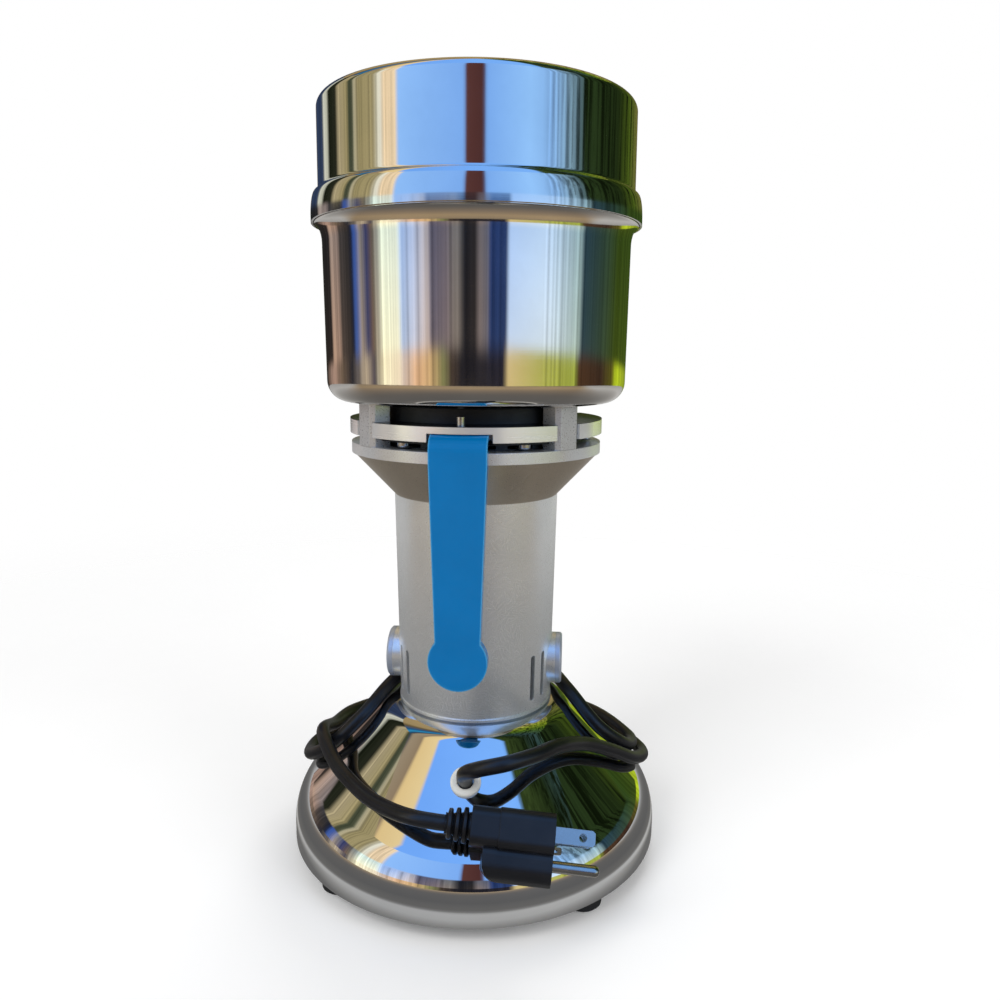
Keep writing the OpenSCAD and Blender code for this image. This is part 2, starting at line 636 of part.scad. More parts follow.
module cooling_fan() color("darkslategray") translate([0, 0, fan_z]) {
    difference() {
        union() {
            cylinder(r = fan_r, h = fan_t);
            cylinder(r = fan_hub_r, h = fan_h + 1);
        }
        translate([0, 0, -1]) cylinder(r = shaft_r + 0.02, h = 20);
    }
    for (i = [0:fan_blades - 1]) rotate([0, 0, 360 * i / fan_blades]) translate([0, 0, fan_t])
        linear_extrude(fan_h - fan_t) fan_blade();
}
// a thin crescent that curves back from the hub to the rim
module fan_blade() intersection() {
    difference() {
        translate([fan_r * 0.6, -fan_r * 0.62]) circle(fan_r * 0.62);
        translate([fan_r * 0.6, -fan_r * 0.62 - 1.4]) circle(fan_r * 0.62);
    }
    difference() {
        circle(fan_r - 0.4);
        circle(fan_hub_r - 1);
    }
    translate([0, -fan_r * 0.7]) square([fan_r, fan_r * 0.8]);
}

// ---- grinding blades ----

// one arm: flat from the hub, then bent by tilt degrees at radius bend
module blade_arm(reach, bend, tilt, w) {
    linear_extrude(blade_t) polygon([[0, -w / 2], [bend, -w / 2], [bend, w / 2], [0, w / 2]]);
    translate([bend, 0, tilt < 0 ? blade_t : 0]) rotate([0, -tilt, 0])
        translate([0, 0, tilt < 0 ? -blade_t : 0]) difference() {
            linear_extrude(blade_t) polygon([[-0.01, -w / 2], [(reach - bend) / cos(tilt), -w / 2 + 5],
                [(reach - bend) / cos(tilt), w / 2], [-0.01, w / 2]]);
            translate([-5, w / 2, blade_t]) rotate([-50, 0, 0]) translate([0, -1.2, -6]) cube([60, 6, 12]);
        }
}
module blade(z, reach, bend, tilt, w, turn) translate([0, 0, z]) rotate([0, 0, turn]) difference() {
    union() {
        cylinder(r = 11, h = blade_t);
        for (s = [0, 180]) rotate([0, 0, s]) blade_arm(reach, bend, tilt, w);
    }
    translate([0, 0, -1]) cylinder(r = thread_r + 0.03, h = blade_t + 2);
}
low_z = blade_z;
mid_z = low_z + blade_t + spacer_h;
top_z = mid_z + blade_t + spacer_h;
module low_blade() color("lightgray") blade(low_z, low_blade_r, low_blade_r * 0.55, -9, 18, 0);
module middle_blade() color("lightgray") blade(mid_z, mid_blade_r, mid_blade_r * 0.5, 14, 16, 60);
module top_blade() color("lightgray") blade(top_z, top_blade_r, top_blade_r * 0.45, 26, 15, 120);
module blade_spacers() color("gray") for (z = [low_z + blade_t, mid_z + blade_t]) translate([0, 0, z])
    tube(9, thread_r + 0.03, spacer_h);
module blade_nut() color("silver") translate([0, 0, top_z + blade_t]) difference() {
    union() {
        cylinder(r = 9, h = 1.5);
        translate([0, 0, 1.5]) cylinder(r = 7.5, h = 6, $fn = 6);
    }
    translate([0, 0, -1]) cylinder(r = thread_r + 0.03, h = 12);
}

// ---- bearing plate, air guide and posts ----

module bearing_plate() color("lightgray") difference() {
    union() {
        translate([0, 0, plate_z]) cylinder(r = plate_r, h = plate_t);
        translate([0, 0, upper_bearing_z]) cylinder(r = hub_r, h = plate_z - upper_bearing_z + 1);
    }
    translate([0, 0, upper_bearing_z - 1]) cylinder(r = upper_bearing_r + 0.02, h = upper_bearing_h + 1);
    translate([0, 0, plate_z]) cylinder(r = shaft_r + 1, h = plate_t + 1);
    post_slots(plate_z - 1, plate_top + 1);
    translate([-notch_w / 2, -plate_r - 5, plate_z - 1])
        cube([notch_w, plate_r + 5 - handle_tab_in + 1, notch_z - plate_z + 1]);
    for (a = plate_screw_angles) at_angle(a, plate_screw_pitch_r) translate([0, 0, plate_z - 1])
        cylinder(r = m3_r + run_fit, h = plate_thread + 1);
    at_angle(0, handle_screw_pitch_r) translate([0, 0, plate_z - 1])
        cylinder(r = m4_r + run_fit, h = plate_t + 2);
}
module air_guide() color("dimgray") difference() {
    union() {
        translate([0, 0, plate_z - guide_t]) tube(plate_screw_pitch_r + 3, guide_r - 3, guide_t);
        translate([0, 0, ledge_z]) tube(guide_r, guide_r - 3, plate_z - ledge_z);
    }
    for (i = [0:17]) at_angle(10 + i * 20, guide_r) translate([-6, -4, flange_top + 0.4])
        cube([12, 8, plate_gap - guide_t - 0.8]);
    post_slots(plate_z - guide_t - 1, plate_z + 1);
    translate([-notch_w / 2, -plate_r, plate_z - guide_t - 1])
        cube([notch_w, plate_r - guide_r - 2 * loose_fit, guide_t + 2]);
    for (a = plate_screw_angles) at_angle(a, plate_screw_pitch_r) translate([0, 0, plate_z - guide_t - 1])
        cylinder(r = m3_r + slip_fit, h = guide_t + 2);
}
module upper_bearing() color("gray") translate([0, 0, upper_bearing_z])
    ball_bearing(upper_bearing_r, shaft_r + 0.03, upper_bearing_h);
module plate_screws() color("silver") for (a = plate_screw_angles) at_angle(a, plate_screw_pitch_r)
    translate([0, 0, plate_z - guide_t]) mirror([0, 0, 1]) pan_screw(m3_r, guide_t + plate_thread - 0.5);
module support_posts() color("lightgray") for (a = post_angles) at_angle(a, post_pitch_r)
    translate([0, 0, flange_top]) difference() {
        linear_extrude(bowl_z - flange_top) post_section();
        translate([0, 0, -1]) cylinder(r = m4_r + slip_fit, h = bowl_z - flange_top + 2);
    }
module bowl_seat() color("dimgray") translate([0, 0, plate_top]) rotate_extrude()
    polygon([[16, 0], [seat_r, 0], [seat_r, seat_t - 1.2], [seat_r - 1.5, seat_t], [16, seat_t]]);

// ---- handle ----

handle_z1 = handle_tab_top;
handle_z0 = barrel_z + handle_foot;
handle_bend_r = 7;
// front view of the strap, inset all round its edge
module strap_outline(inset) {
    neck_z = handle_z0 + 2 * handle_end_r - 1;
    polygon([[-handle_neck_w / 2 + inset, neck_z - 4], [handle_neck_w / 2 - inset, neck_z - 4],
        [handle_top_w / 2 - inset, handle_z1 - 12], [handle_top_w / 2 - inset, handle_z1 + 1],
        [-handle_top_w / 2 + inset, handle_z1 + 1], [-handle_top_w / 2 + inset, handle_z1 - 12]]);
    translate([0, handle_z0 + handle_end_r]) circle(handle_end_r - inset);
}
// side view of the sheet: down the front, round the bend and in under the plate
module strap_side() {
    polygon(concat([[-handle_reach, handle_z0 - 1]],
        arc(-handle_reach + handle_bend_r, handle_z1 - handle_bend_r, handle_bend_r, 180, 90, 6),
        [[-handle_tab_in, handle_z1], [-handle_tab_in, handle_z1 - handle_t]],
        arc(-handle_reach + handle_bend_r, handle_z1 - handle_bend_r, handle_bend_r - handle_t, 90, 180, 6),
        [[-handle_reach + handle_t, handle_z0 - 1]]));
}
module handle() color("dodgerblue") {
    difference() {
        intersection() {
            rotate([90, 0, 90]) translate([0, 0, -20]) linear_extrude(40) strap_side();
            translate([0, -handle_tab_in + 2, 0]) rotate([90, 0, 0]) linear_extrude(30) strap_outline(0);
        }
        at_angle(0, handle_screw_pitch_r) translate([0, 0, handle_z1 - 5])
            cylinder(r = m4_r + slip_fit, h = 8);
    }
    difference() {
        translate([0, -handle_reach + handle_edge, 0]) rotate([90, 0, 0])
            linear_extrude(handle_edge - handle_t / 2) difference() {
                strap_outline(0);
                strap_outline(handle_t * 0.8);
            }
        translate([-20, -90, handle_z1 - handle_bend_r]) cube([40, 50, 20]);
    }
}
module handle_screw() color("silver") at_angle(0, handle_screw_pitch_r)
    translate([0, 0, handle_z1 - handle_t]) mirror([0, 0, 1])
        pan_screw(m4_r - 0.05, plate_top + 4 - handle_z1 + handle_t);

// ---- bowl ----

module seal_hub() color("lightgray") rotate_extrude() polygon([
    [shaft_r + 1, plate_top], [16 - slip_fit, plate_top], [16 - slip_fit, bowl_z], [seal_hub_r, bowl_z],
    [seal_hub_r, seal_hub_top - 1], [seal_hub_r - 1, seal_hub_top], [8, seal_hub_top], [8, bowl_z],
    [shaft_r + 1, bowl_z]
]);
module shaft_seal() color("darkorange") translate([0, 0, bowl_z]) rotate_extrude() polygon([
    [shaft_r + 0.06, 0], [8 - 0.05, 0], [8 - 0.05, 6], [shaft_r + 1.4, 6], [shaft_r + 0.06, 4.6]
]);
// outside of the bowl from the floor up, then the rim
function bowl_outside() = concat(
    arc(bowl_low_r - bowl_bend_r, bowl_z + bowl_bend_r, bowl_bend_r, -90, 0, 8),
    [for (t = [0:15:90]) [bowl_high_r + (rim_r - bowl_high_r) * (1 - cos(t)),
        rim_z - bowl_t - rim_flare_h * (1 - sin(t))]],
    [[rim_r, rim_z]]
);
bowl_in_high = bowl_high_r - bowl_t;
function bowl_inside() = concat(
    [[bowl_in_high, rim_z]],
    reversed(arc(bowl_low_r - bowl_bend_r, bowl_z + bowl_bend_r, bowl_bend_r - bowl_t, -90, 0, 8))
);
module bowl() color("gainsboro") difference() {
    rotate_extrude() polygon(concat([[seal_hub_r + slip_fit, bowl_z]], bowl_outside(), bowl_inside(),
        [[seal_hub_r + slip_fit, floor_z]]));
    for (a = post_angles) at_angle(a, post_pitch_r) translate([0, 0, bowl_z - 1])
        cylinder(r = m4_r + slip_fit, h = 6);
}
module bowl_screws() color("silver") for (a = post_angles) at_angle(a, post_pitch_r)
    translate([0, 0, floor_z]) pan_screw(m4_r, floor_z - flange_top + post_thread - 1);

// ---- lid ----

// outside of the lid's sheet, top, wall, filleted crease and bulged skirt, inset for the inside
function lid_line(inset) = concat(
    [[0, lid_top - inset]],
    arc(lid_r - lid_bend_r, lid_top - lid_bend_r, lid_bend_r - inset, 90, 0, 6),
    arc(lid_r + crease_fillet, crease_z + crease_fillet, crease_fillet + inset, 180, 270, 4),
    [for (t = [15:15:90]) [lid_r + crease_fillet + (lip_r - lid_r - crease_fillet - inset) * sin(t),
        crease_z - inset - (skirt_h - 3 - inset) * (1 - cos(t))]],
    [[lip_r - inset, crease_z - skirt_h]]
);
module lid_shell() color("gainsboro") rotate_extrude()
    polygon(concat(lid_line(0), reversed(lid_line(lid_t))));
ring_out_r = bowl_in_high - 0.6;
ring_in_r = ring_out_r - 5;
groove_z = rim_z - plug_ring_h + 2.6;
module lid_ring() color("lightgray") rotate_extrude() polygon([
    [ring_in_r, rim_z - plug_ring_h], [ring_out_r - 1, rim_z - plug_ring_h],
    [ring_out_r, rim_z - plug_ring_h + 1], [ring_out_r, groove_z], [ring_out_r - 2, groove_z],
    [ring_out_r - 2, groove_z + 3.4], [ring_out_r, groove_z + 3.4], [ring_out_r, rim_z],
    [rim_r, rim_z], [rim_r, rim_z + 1.5], [lid_r - lid_t - 0.1, rim_z + 3],
    [lid_r - lid_t - 0.1, crease_z + 5], [lid_r - lid_t - 2, crease_z + 5],
    [lid_r - lid_t - 2, rim_z + 4], [ring_in_r, rim_z + 2]
]);
module lid_seal() color("whitesmoke") translate([0, 0, groove_z + 0.1]) rotate_extrude()
    translate([ring_out_r - 1.9, 0]) square([2.2, 3.2]);

// ---- switch box ----

module switch_box() color("dimgray") difference() {
    union() {
        difference() {
            translate([0, 0, box_z + box_h / 2]) block_y(box_w, box_h, 5, 20, box_face);
            translate([0, 0, box_z + box_h / 2])
                block_y(box_w - 2 * box_t, box_h - 2 * box_t, 3, 10, box_face - box_t);
        }
        for (x = [-1, 1], z = box_screw_z) translate([x * box_screw_x, 0, z])
            along_y(3.4, 25, box_face - 1);
    }
    // the box's back follows the barrel
    rotate_extrude() polygon([[0, barrel_z], [barrel_foot_r + 0.05, barrel_z],
        [barrel_top_r + 0.05, flare_z], [0, flare_z]]);
    for (x = [-1, 1], z = box_screw_z) translate([x * box_screw_x, 0, z]) {
        along_y(m3_r + slip_fit, 20, box_face + 1);
        along_y(3.2, box_face - 2.6, box_face + 1);
    }
    translate([switch_x, 0, switch_z])
        block_y(bezel_w - 1.8, bezel_h - 1.8, 1, box_face - 5, box_face + 1);
    translate([0, 0, timer_z]) along_y(dial_bore_r, box_face - 5, box_face + 1);
    translate([reset_x, 0, reset_z]) along_y(breaker_r + slip_fit, box_face - 5, box_face + 1);
}
module switch_box_screws() color("silver") for (x = [-1, 1], z = box_screw_z)
    translate([x * box_screw_x, box_face - 2.6, z]) rotate([-90, 0, 0])
        pan_screw(m3_r, box_face - 2.6 - 32);
module switch_bezel() color("black") translate([switch_x, 0, switch_z]) difference() {
    union() {
        block_y(bezel_w, bezel_h, 1.5, box_face, box_face + 2);
        block_y(bezel_w - 2, bezel_h - 2, 1, box_face - 13, box_face + 1);
    }
    block_y(bezel_w - 4, bezel_h - 4, 0.5, box_face - 10, box_face + 3);
}
rocker_y = box_face + 0.6;
module switch_rocker() color("firebrick") translate([switch_x, rocker_y, switch_z])
    rotate([-rocker_tilt, 0, 0]) translate([-rocker_w / 2, 0, 0]) rotate([90, 0, 90])
        linear_extrude(rocker_w)
        polygon([[-3.6, -rocker_half + 1.6], [0, -rocker_half], [1.4, -rocker_half], [2.6, 0],
            [1.4, rocker_half], [0, rocker_half], [-3.6, rocker_half - 1.6]]);
module timer_movement() color("gray") translate([0, 0, timer_z]) difference() {
    union() {
        block_y(movement[0], movement[1], 2, box_face - movement[2], box_face - box_t);
        along_y(dial_bore_r - slip_fit, box_face - box_t - 1, box_face + 1.4);
    }
    along_y(spindle_r + 0.05, box_face - movement[2] + 1, box_face + 3);
}
module timer_dial() color("silver") translate([0, box_face, timer_z]) rotate([-90, 0, 0])
    tube(dial_r, dial_bore_r, 0.8);
module timer_knob() color("black") translate([0, box_face + 1.8, timer_z]) rotate([-90, 0, 0]) {
    translate([0, 0, -11]) cylinder(r = spindle_r, h = 14);
    rotate_extrude() polygon(concat([[0, 0], [knob_r, 0], [knob_r, 2.4], [knob_r - 1.6, 3.4]],
        arc(knob_r - 3.6, 9.6, 1.4, 0, 90, 4), [[0, 11]]));
    difference() {
        translate([-2.4, -knob_r + 1.2, 0]) cube([4.8, 2 * knob_r - 2.4, 14.5]);
        for (s = [-1, 1]) translate([0, s * knob_r, 17]) rotate([0, 90, 0])
            cylinder(r = 7, h = 10, center = true);
    }
}
module overload_breaker() color("dimgray") translate([reset_x, 0, reset_z]) difference() {
    union() {
        block_y(breaker[0], breaker[1], 1, box_face - breaker[2], box_face - box_t);
        along_y(breaker_r, box_face - box_t - 1, box_face + 2.6);
    }
    along_y(reset_r + 0.08, box_face - breaker[2] + 1, box_face + 4);
}
module reset_nut() color("silver") translate([reset_x, box_face, reset_z]) rotate([-90, 0, 0])
    difference() {
        cylinder(r = 8, h = 2.2, $fn = 6);
        translate([0, 0, -1]) cylinder(r = breaker_r + slip_fit, h = 5);
    }
module reset_button() color("firebrick") translate([reset_x, box_face - 7, reset_z])
    rotate([-90, 0, 0]) rotate_extrude() polygon(concat([[0, 0], [reset_r, 0]],
        arc(reset_r - 1, 11 + reset_travel, 1, 0, 90, 4), [[0, 12 + reset_travel]]));

base_dome();
bottom_plate();
rubber_feet();
foot_screws();
cord_grommet();
power_cord();
plug_relief();
plug_body();
plug_blades();
plug_ground_pin();
motor_housing();
housing_bolts();
lower_bracket();
lower_bearing();
stator_core();
field_coils();
brush_holders();
carbon_brushes();
brush_springs();
brush_caps();
air_guide();
bearing_plate();
upper_bearing();
plate_screws();
handle();
handle_screw();
support_posts();
bowl_seat();
seal_hub();
shaft_seal();
bowl();
bowl_screws();
switch_box();
switch_box_screws();
switch_bezel();
switch_rocker();
timer_movement();
timer_dial();
timer_knob();
overload_breaker();
reset_nut();
reset_button();
motor_shaft();
armature_core();
armature_winding();
commutator();
cooling_fan();
low_blade();
middle_blade();
top_blade();
blade_spacers();
blade_nut();
lid_shell();
lid_ring();
lid_seal();
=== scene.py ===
import json
import math

import bmesh
import bpy
from mathutils import Matrix, Vector


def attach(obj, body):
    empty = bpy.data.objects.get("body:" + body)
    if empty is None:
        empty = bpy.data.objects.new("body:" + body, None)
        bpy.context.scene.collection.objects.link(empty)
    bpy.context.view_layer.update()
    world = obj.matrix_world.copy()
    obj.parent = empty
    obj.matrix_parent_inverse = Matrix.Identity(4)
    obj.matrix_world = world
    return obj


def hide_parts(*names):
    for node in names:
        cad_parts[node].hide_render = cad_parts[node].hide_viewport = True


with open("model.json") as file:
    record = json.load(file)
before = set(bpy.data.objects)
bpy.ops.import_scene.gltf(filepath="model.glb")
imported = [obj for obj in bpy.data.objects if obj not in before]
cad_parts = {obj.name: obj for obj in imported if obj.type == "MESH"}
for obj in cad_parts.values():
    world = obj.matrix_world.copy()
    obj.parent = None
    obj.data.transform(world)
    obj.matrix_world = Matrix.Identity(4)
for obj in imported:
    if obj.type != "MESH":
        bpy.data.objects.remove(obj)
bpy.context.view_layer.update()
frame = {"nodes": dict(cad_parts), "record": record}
NODES = frame["nodes"]
MM = 0.001


# ---- node helpers ----


def linear(hex_colour):
    """A colour written as sRGB hex, as the linear RGBA that shaders take."""
    channels = [int(hex_colour[i : i + 2], 16) / 255 for i in (1, 3, 5)]
    return tuple(
        c / 12.92 if c <= 0.04045 else ((c + 0.055) / 1.055) ** 2.4 for c in channels
    ) + (1.0,)


class Shader:
    """A material's node tree with short calls for the nodes that these finishes use."""

    def __init__(self, name):
        self.material = bpy.data.materials.new(name)
        self.material.use_nodes = True
        self.tree = self.material.node_tree
        self.tree.nodes.clear()
        self.output = self.node("ShaderNodeOutputMaterial")
        self.surface = self.node("ShaderNodeBsdfPrincipled")
        self.link(self.surface.outputs[0], self.output.inputs["Surface"])
        self.coords = self.node("ShaderNodeTexCoord").outputs["Object"]

    def node(self, kind, **settings):
        made = self.tree.nodes.new(kind)
        for key, value in settings.items():
            setattr(made, key, value)
        return made

    def link(self, source, target):
        self.tree.links.new(source, target)

    def stretched(self, scale):
        mapping = self.node("ShaderNodeMapping")
        mapping.inputs["Scale"].default_value = scale
        self.link(self.coords, mapping.inputs["Vector"])
        return mapping.outputs[0]

    def noise(self, scale, stretch=(1, 1, 1), detail=4, roughness=0.55):
        texture = self.node("ShaderNodeTexNoise")
        texture.inputs["Scale"].default_value = scale
        texture.inputs["Detail"].default_value = detail
        texture.inputs["Roughness"].default_value = roughness
        self.link(self.stretched(stretch), texture.inputs["Vector"])
        return texture.outputs["Fac"]

    def spread(self, value, low, high, from_low=0.3, from_high=0.7, smooth=False):
        ranged = self.node("ShaderNodeMapRange")
        if smooth:
            ranged.interpolation_type = "SMOOTHSTEP"
        ranged.inputs["From Min"].default_value = from_low
        ranged.inputs["From Max"].default_value = from_high
        ranged.inputs["To Min"].default_value = low
        ranged.inputs["To Max"].default_value = high
        self.link(value, ranged.inputs["Value"])
        return ranged.outputs[0]

    def mixed(self, factor, first, second):
        mix = self.node("ShaderNodeMix", data_type="RGBA")
        self.link(factor, mix.inputs["Factor"])
        for value, socket in ((first, mix.inputs["A"]), (second, mix.inputs["B"])):
            if isinstance(value, tuple):
                socket.default_value = value
            else:
                self.link(value, socket)
        return mix.outputs["Result"]

    def axes(self):
        separated = self.node("ShaderNodeSeparateXYZ")
        self.link(self.coords, separated.inputs[0])
        return separated.outputs

    def height(self):
        return self.axes()["Z"]

    def maths(self, operation, first, second=0):
        """A maths node over two values, each a socket or a number."""
        node = self.node("ShaderNodeMath", operation=operation)
        for value, socket in ((first, node.inputs[0]), (second, node.inputs[1])):
            if isinstance(value, (int, float)):
                socket.default_value = value
            else:
                self.link(value, socket)
        return node.outputs[0]

    def azimuth(self):
        """Degrees round the axis: 0 at the front, positive towards +X."""
        place = self.axes()
        radians = self.maths("ARCTAN2", place["X"], self.maths("MULTIPLY", place["Y"], -1))
        return self.maths("MULTIPLY", radians, 180 / math.pi)

    def ramp(self, value, stops, low, high):
        """Colours in steps over the range from low to high."""
        node = self.node("ShaderNodeValToRGB")
        elements = node.color_ramp.elements
        for i, (place, shade) in enumerate(stops):
            position = (place - low) / (high - low)
            stop = elements[i] if i < 2 else elements.new(position)
            stop.position = position
            stop.color = linear(shade)
        self.link(self.spread(value, 0, 1, low, high), node.inputs["Fac"])
        return node.outputs["Color"]

    def relief(self, height, strength, distance, edge=0.0):
        """Bump from a height, over edges softened by the given radius."""
        bump = self.node("ShaderNodeBump")
        bump.inputs["Strength"].default_value = strength
        bump.inputs["Distance"].default_value = distance
        self.link(height, bump.inputs["Height"])
        if edge:
            bevel = self.node("ShaderNodeBevel", samples=4)
            bevel.inputs["Radius"].default_value = edge
            self.link(bevel.outputs[0], bump.inputs["Normal"])
        self.link(bump.outputs[0], self.surface.inputs["Normal"])

    def set(self, **values):
        for key, value in values.items():
            self.surface.inputs[key.replace("_", " ")].default_value = value

    def drive(self, **sources):
        for key, source in sources.items():
            self.link(source, self.surface.inputs[key.replace("_", " ")])


# ---- finishes ----


def polished_metal(name, light, dark, rough, spun=0.0, edge=0.0, smear=40):
    """Bright metal. A spun one has fine turning lines that draw its highlights out along Z."""
    s = Shader(name)
    s.set(Metallic=1.0)
    cloud = s.noise(smear, detail=6)
    s.drive(Base_Color=s.mixed(s.spread(cloud, 0, 1), linear(dark), linear(light)))
    if spun:
        lines = s.noise(60, stretch=(0.4, 0.4, 40), detail=5, roughness=0.7)
        s.set(Anisotropic=spun, Anisotropic_Rotation=0.25)
        tangent = s.node("ShaderNodeTangent", direction_type="RADIAL", axis="Z")
        s.drive(Tangent=tangent.outputs[0])
        strength, distance = 0.05, 0.00003
    else:
        lines = s.noise(900, detail=3)
        strength, distance = 0.02, 0.00002
    s.drive(Roughness=s.spread(cloud, *rough))
    s.relief(lines, strength, distance, edge)
    return s.material


def satin_metal(name, light, dark, rough, grain=1400, edge=0.0003, metallic=1.0, strength=0.08):
    """Cast, sanded or plated metal with a fine grain."""
    s = Shader(name)
    s.set(Metallic=metallic)
    cloud = s.spread(s.noise(55, detail=5), 0, 1)
    s.drive(Base_Color=s.mixed(cloud, linear(dark), linear(light)))
    fine = s.noise(grain, detail=2)
    s.drive(Roughness=s.spread(fine, *rough))
    s.relief(fine, strength, 0.00006, edge)
    return s.material


def moulded(name, light, dark, rough, grain=1800, edge=0.0004, strength=0.3, coat=0.0):
    """Moulded plastic, rubber or paint with a fine skin."""
    s = Shader(name)
    if coat:
        s.set(Coat_Weight=coat, Coat_Roughness=0.08)
    cloud = s.spread(s.noise(70, detail=5), 0, 1)
    s.drive(Base_Color=s.mixed(cloud, linear(dark), linear(light)))
    fine = s.noise(grain, detail=3)
    s.drive(Roughness=s.spread(fine, *rough))
    s.relief(fine, strength, 0.00005, edge)
    return s.material


def wound_copper(name):
    """Lacquered wire lying turn by turn."""
    s = Shader(name)
    s.set(Metallic=0.55, Coat_Weight=0.5, Coat_Roughness=0.15)
    wave = s.node("ShaderNodeTexWave", wave_type="BANDS", bands_direction="Z")
    wave.inputs["Scale"].default_value = 380
    wave.inputs["Distortion"].default_value = 1.5
    s.link(s.coords, wave.inputs["Vector"])
    turns = wave.outputs["Fac"]
    s.drive(Base_Color=s.mixed(turns, linear("#6E3214"), linear("#C1713A")))
    s.drive(Roughness=s.spread(turns, 0.5, 0.28, 0, 1))
    s.relief(turns, 0.5, 0.0003)
    return s.material


def laminations(name):
    """A stack of thin steel sheets seen on edge."""
    s = Shader(name)
    s.set(Metallic=0.9)
    wave = s.node("ShaderNodeTexWave", wave_type="BANDS", bands_direction="Z")
    wave.inputs["Scale"].default_value = 620
    s.link(s.coords, wave.inputs["Vector"])
    sheets = wave.outputs["Fac"]
    s.drive(Base_Color=s.mixed(sheets, linear("#3F4449"), linear("#757B82")))
    s.drive(Roughness=s.spread(s.noise(300), 0.35, 0.6))
    s.relief(sheets, 0.4, 0.0002)
    return s.material


# where one finish meets the next on a piece, where the plate's top with its painted shade begins, and the
# timer's axis, in metres above the table
FLARE_Z = 0.182
FLANGE_Z = 0.203
PLATE_TOP_Z = 0.2196
TIMER_Z = 0.135
# the dial's rings of ticks: how many, the cosine past which they are dark, their inner radius in metres
TICKS = ((60, 0.6, 0.0147), (12, 0.93, 0.0141), (6, 0.97, 0.0136))


def housing_finish(name):
    """Satin barrel, darker turned flare and fine-grained flange, one above the other."""
    s = Shader(name)
    s.set(Metallic=0.75)
    cloud = s.spread(s.noise(38, detail=6), 0, 1)
    z = s.height()
    barrel = s.mixed(cloud, linear("#E6E9EA"), linear("#EFF1F2"))
    flare = s.mixed(cloud, linear("#B4A693"), linear("#BFB29F"))
    flange = s.mixed(cloud, linear("#DDE0E3"), linear("#E8EAEC"))
    above_barrel = s.spread(z, 0, 1, FLARE_Z - 0.0002, FLARE_Z + 0.0002)
    above_flare = s.spread(z, 0, 1, FLANGE_Z - 0.0001, FLANGE_Z + 0.0001)
    s.drive(Base_Color=s.mixed(above_flare, s.mixed(above_barrel, barrel, flare), flange))
    fine = s.noise(2600, detail=2)
    s.drive(Roughness=s.spread(fine, 0.26, 0.34))
    s.relief(fine, 0.08, 0.00004, 0.0004)
    return s.material


def plate_with_painted_shade_top(name):
    """Bright machined edge under a top face painted near-black as shade, for the shadowed gap under the bowl.
    """
    s = Shader(name)
    s.set(Metallic=0.7)
    cloud = s.spread(s.noise(60, detail=5), 0, 1)
    edge = s.mixed(cloud, linear("#F0F2F4"), linear("#F6F7F9"))
    # painted shade: the top face, which lies in the shadowed gap under the bowl, is painted near-black
    top = s.mixed(cloud, linear("#17181A"), linear("#202124"))
    on_top = s.spread(s.height(), 0, 1, PLATE_TOP_Z - 0.0003, PLATE_TOP_Z - 0.0001)
    s.drive(Base_Color=s.mixed(on_top, edge, top))
    turned = s.noise(60, stretch=(0.5, 0.5, 40), detail=4)
    s.drive(Roughness=s.spread(turned, 0.22, 0.28))
    s.relief(turned, 0.03, 0.00003, 0.0003)
    return s.material


def dial_finish(name):
    """Satin dial with dark ticks, a long one every 60 degrees."""
    s = Shader(name)
    across = s.axes()["X"]
    up = s.maths("SUBTRACT", s.height(), TIMER_Z)
    turn = s.maths("ARCTAN2", across, up)
    squares = s.maths("ADD", s.maths("MULTIPLY", up, up), s.maths("MULTIPLY", across, across))
    radius = s.maths("SQRT", squares)
    ticks = []
    for count, past, inner in TICKS:
        wave = s.maths("COSINE", s.maths("MULTIPLY", turn, count))
        marked = s.maths("GREATER_THAN", wave, past)
        ticks.append(s.maths("MULTIPLY", marked, s.maths("GREATER_THAN", radius, inner)))
    dark = s.maths("MAXIMUM", ticks[0], s.maths("MAXIMUM", ticks[1], ticks[2]))
    cloud = s.spread(s.noise(90, detail=4), 0, 1)
    silver = s.mixed(cloud, linear("#BFC0C1"), linear("#D0D1D2"))
    s.drive(Base_Color=s.mixed(dark, silver, linear("#1B1C1E")))
    s.drive(Metallic=s.spread(dark, 0.9, 0.0, 0, 1))
    s.drive(Roughness=s.spread(s.noise(900, detail=2), 0.28, 0.4))
    return s.material


def blue_paint_with_painted_edge_highlight(name):
    """Thick glossy coating, with a painted highlight: its rounded edges are painted a paler blue."""
    s = Shader(name)
    s.set(Specular_IOR_Level=0.2, Coat_Weight=0.12, Coat_Roughness=0.05)
    face = s.mixed(s.spread(s.noise(30, detail=4), 0, 1), linear("#0068A6"), linear("#006EAF"))
    # painted highlight: where the bevel turns the normal away from the true one, the colour goes to pale blue
    rounded = s.node("ShaderNodeBevel", samples=6)
    rounded.inputs["Radius"].default_value = 0.0013
    turn = s.node("ShaderNodeVectorMath", operation="DOT_PRODUCT")
    s.link(rounded.outputs[0], turn.inputs[0])
    s.link(s.node("ShaderNodeNewGeometry").outputs["True Normal"], turn.inputs[1])
    edge = s.spread(turn.outputs["Value"], 1, 0, 0.82, 0.99)
    s.drive(Base_Color=s.mixed(edge, face, linear("#56AEDE")))
    peel = s.noise(260, detail=1)
    s.drive(Roughness=s.spread(peel, 0.2, 0.26))
    s.relief(peel, 0.04, 0.0001, 0.0009)
    return s.material


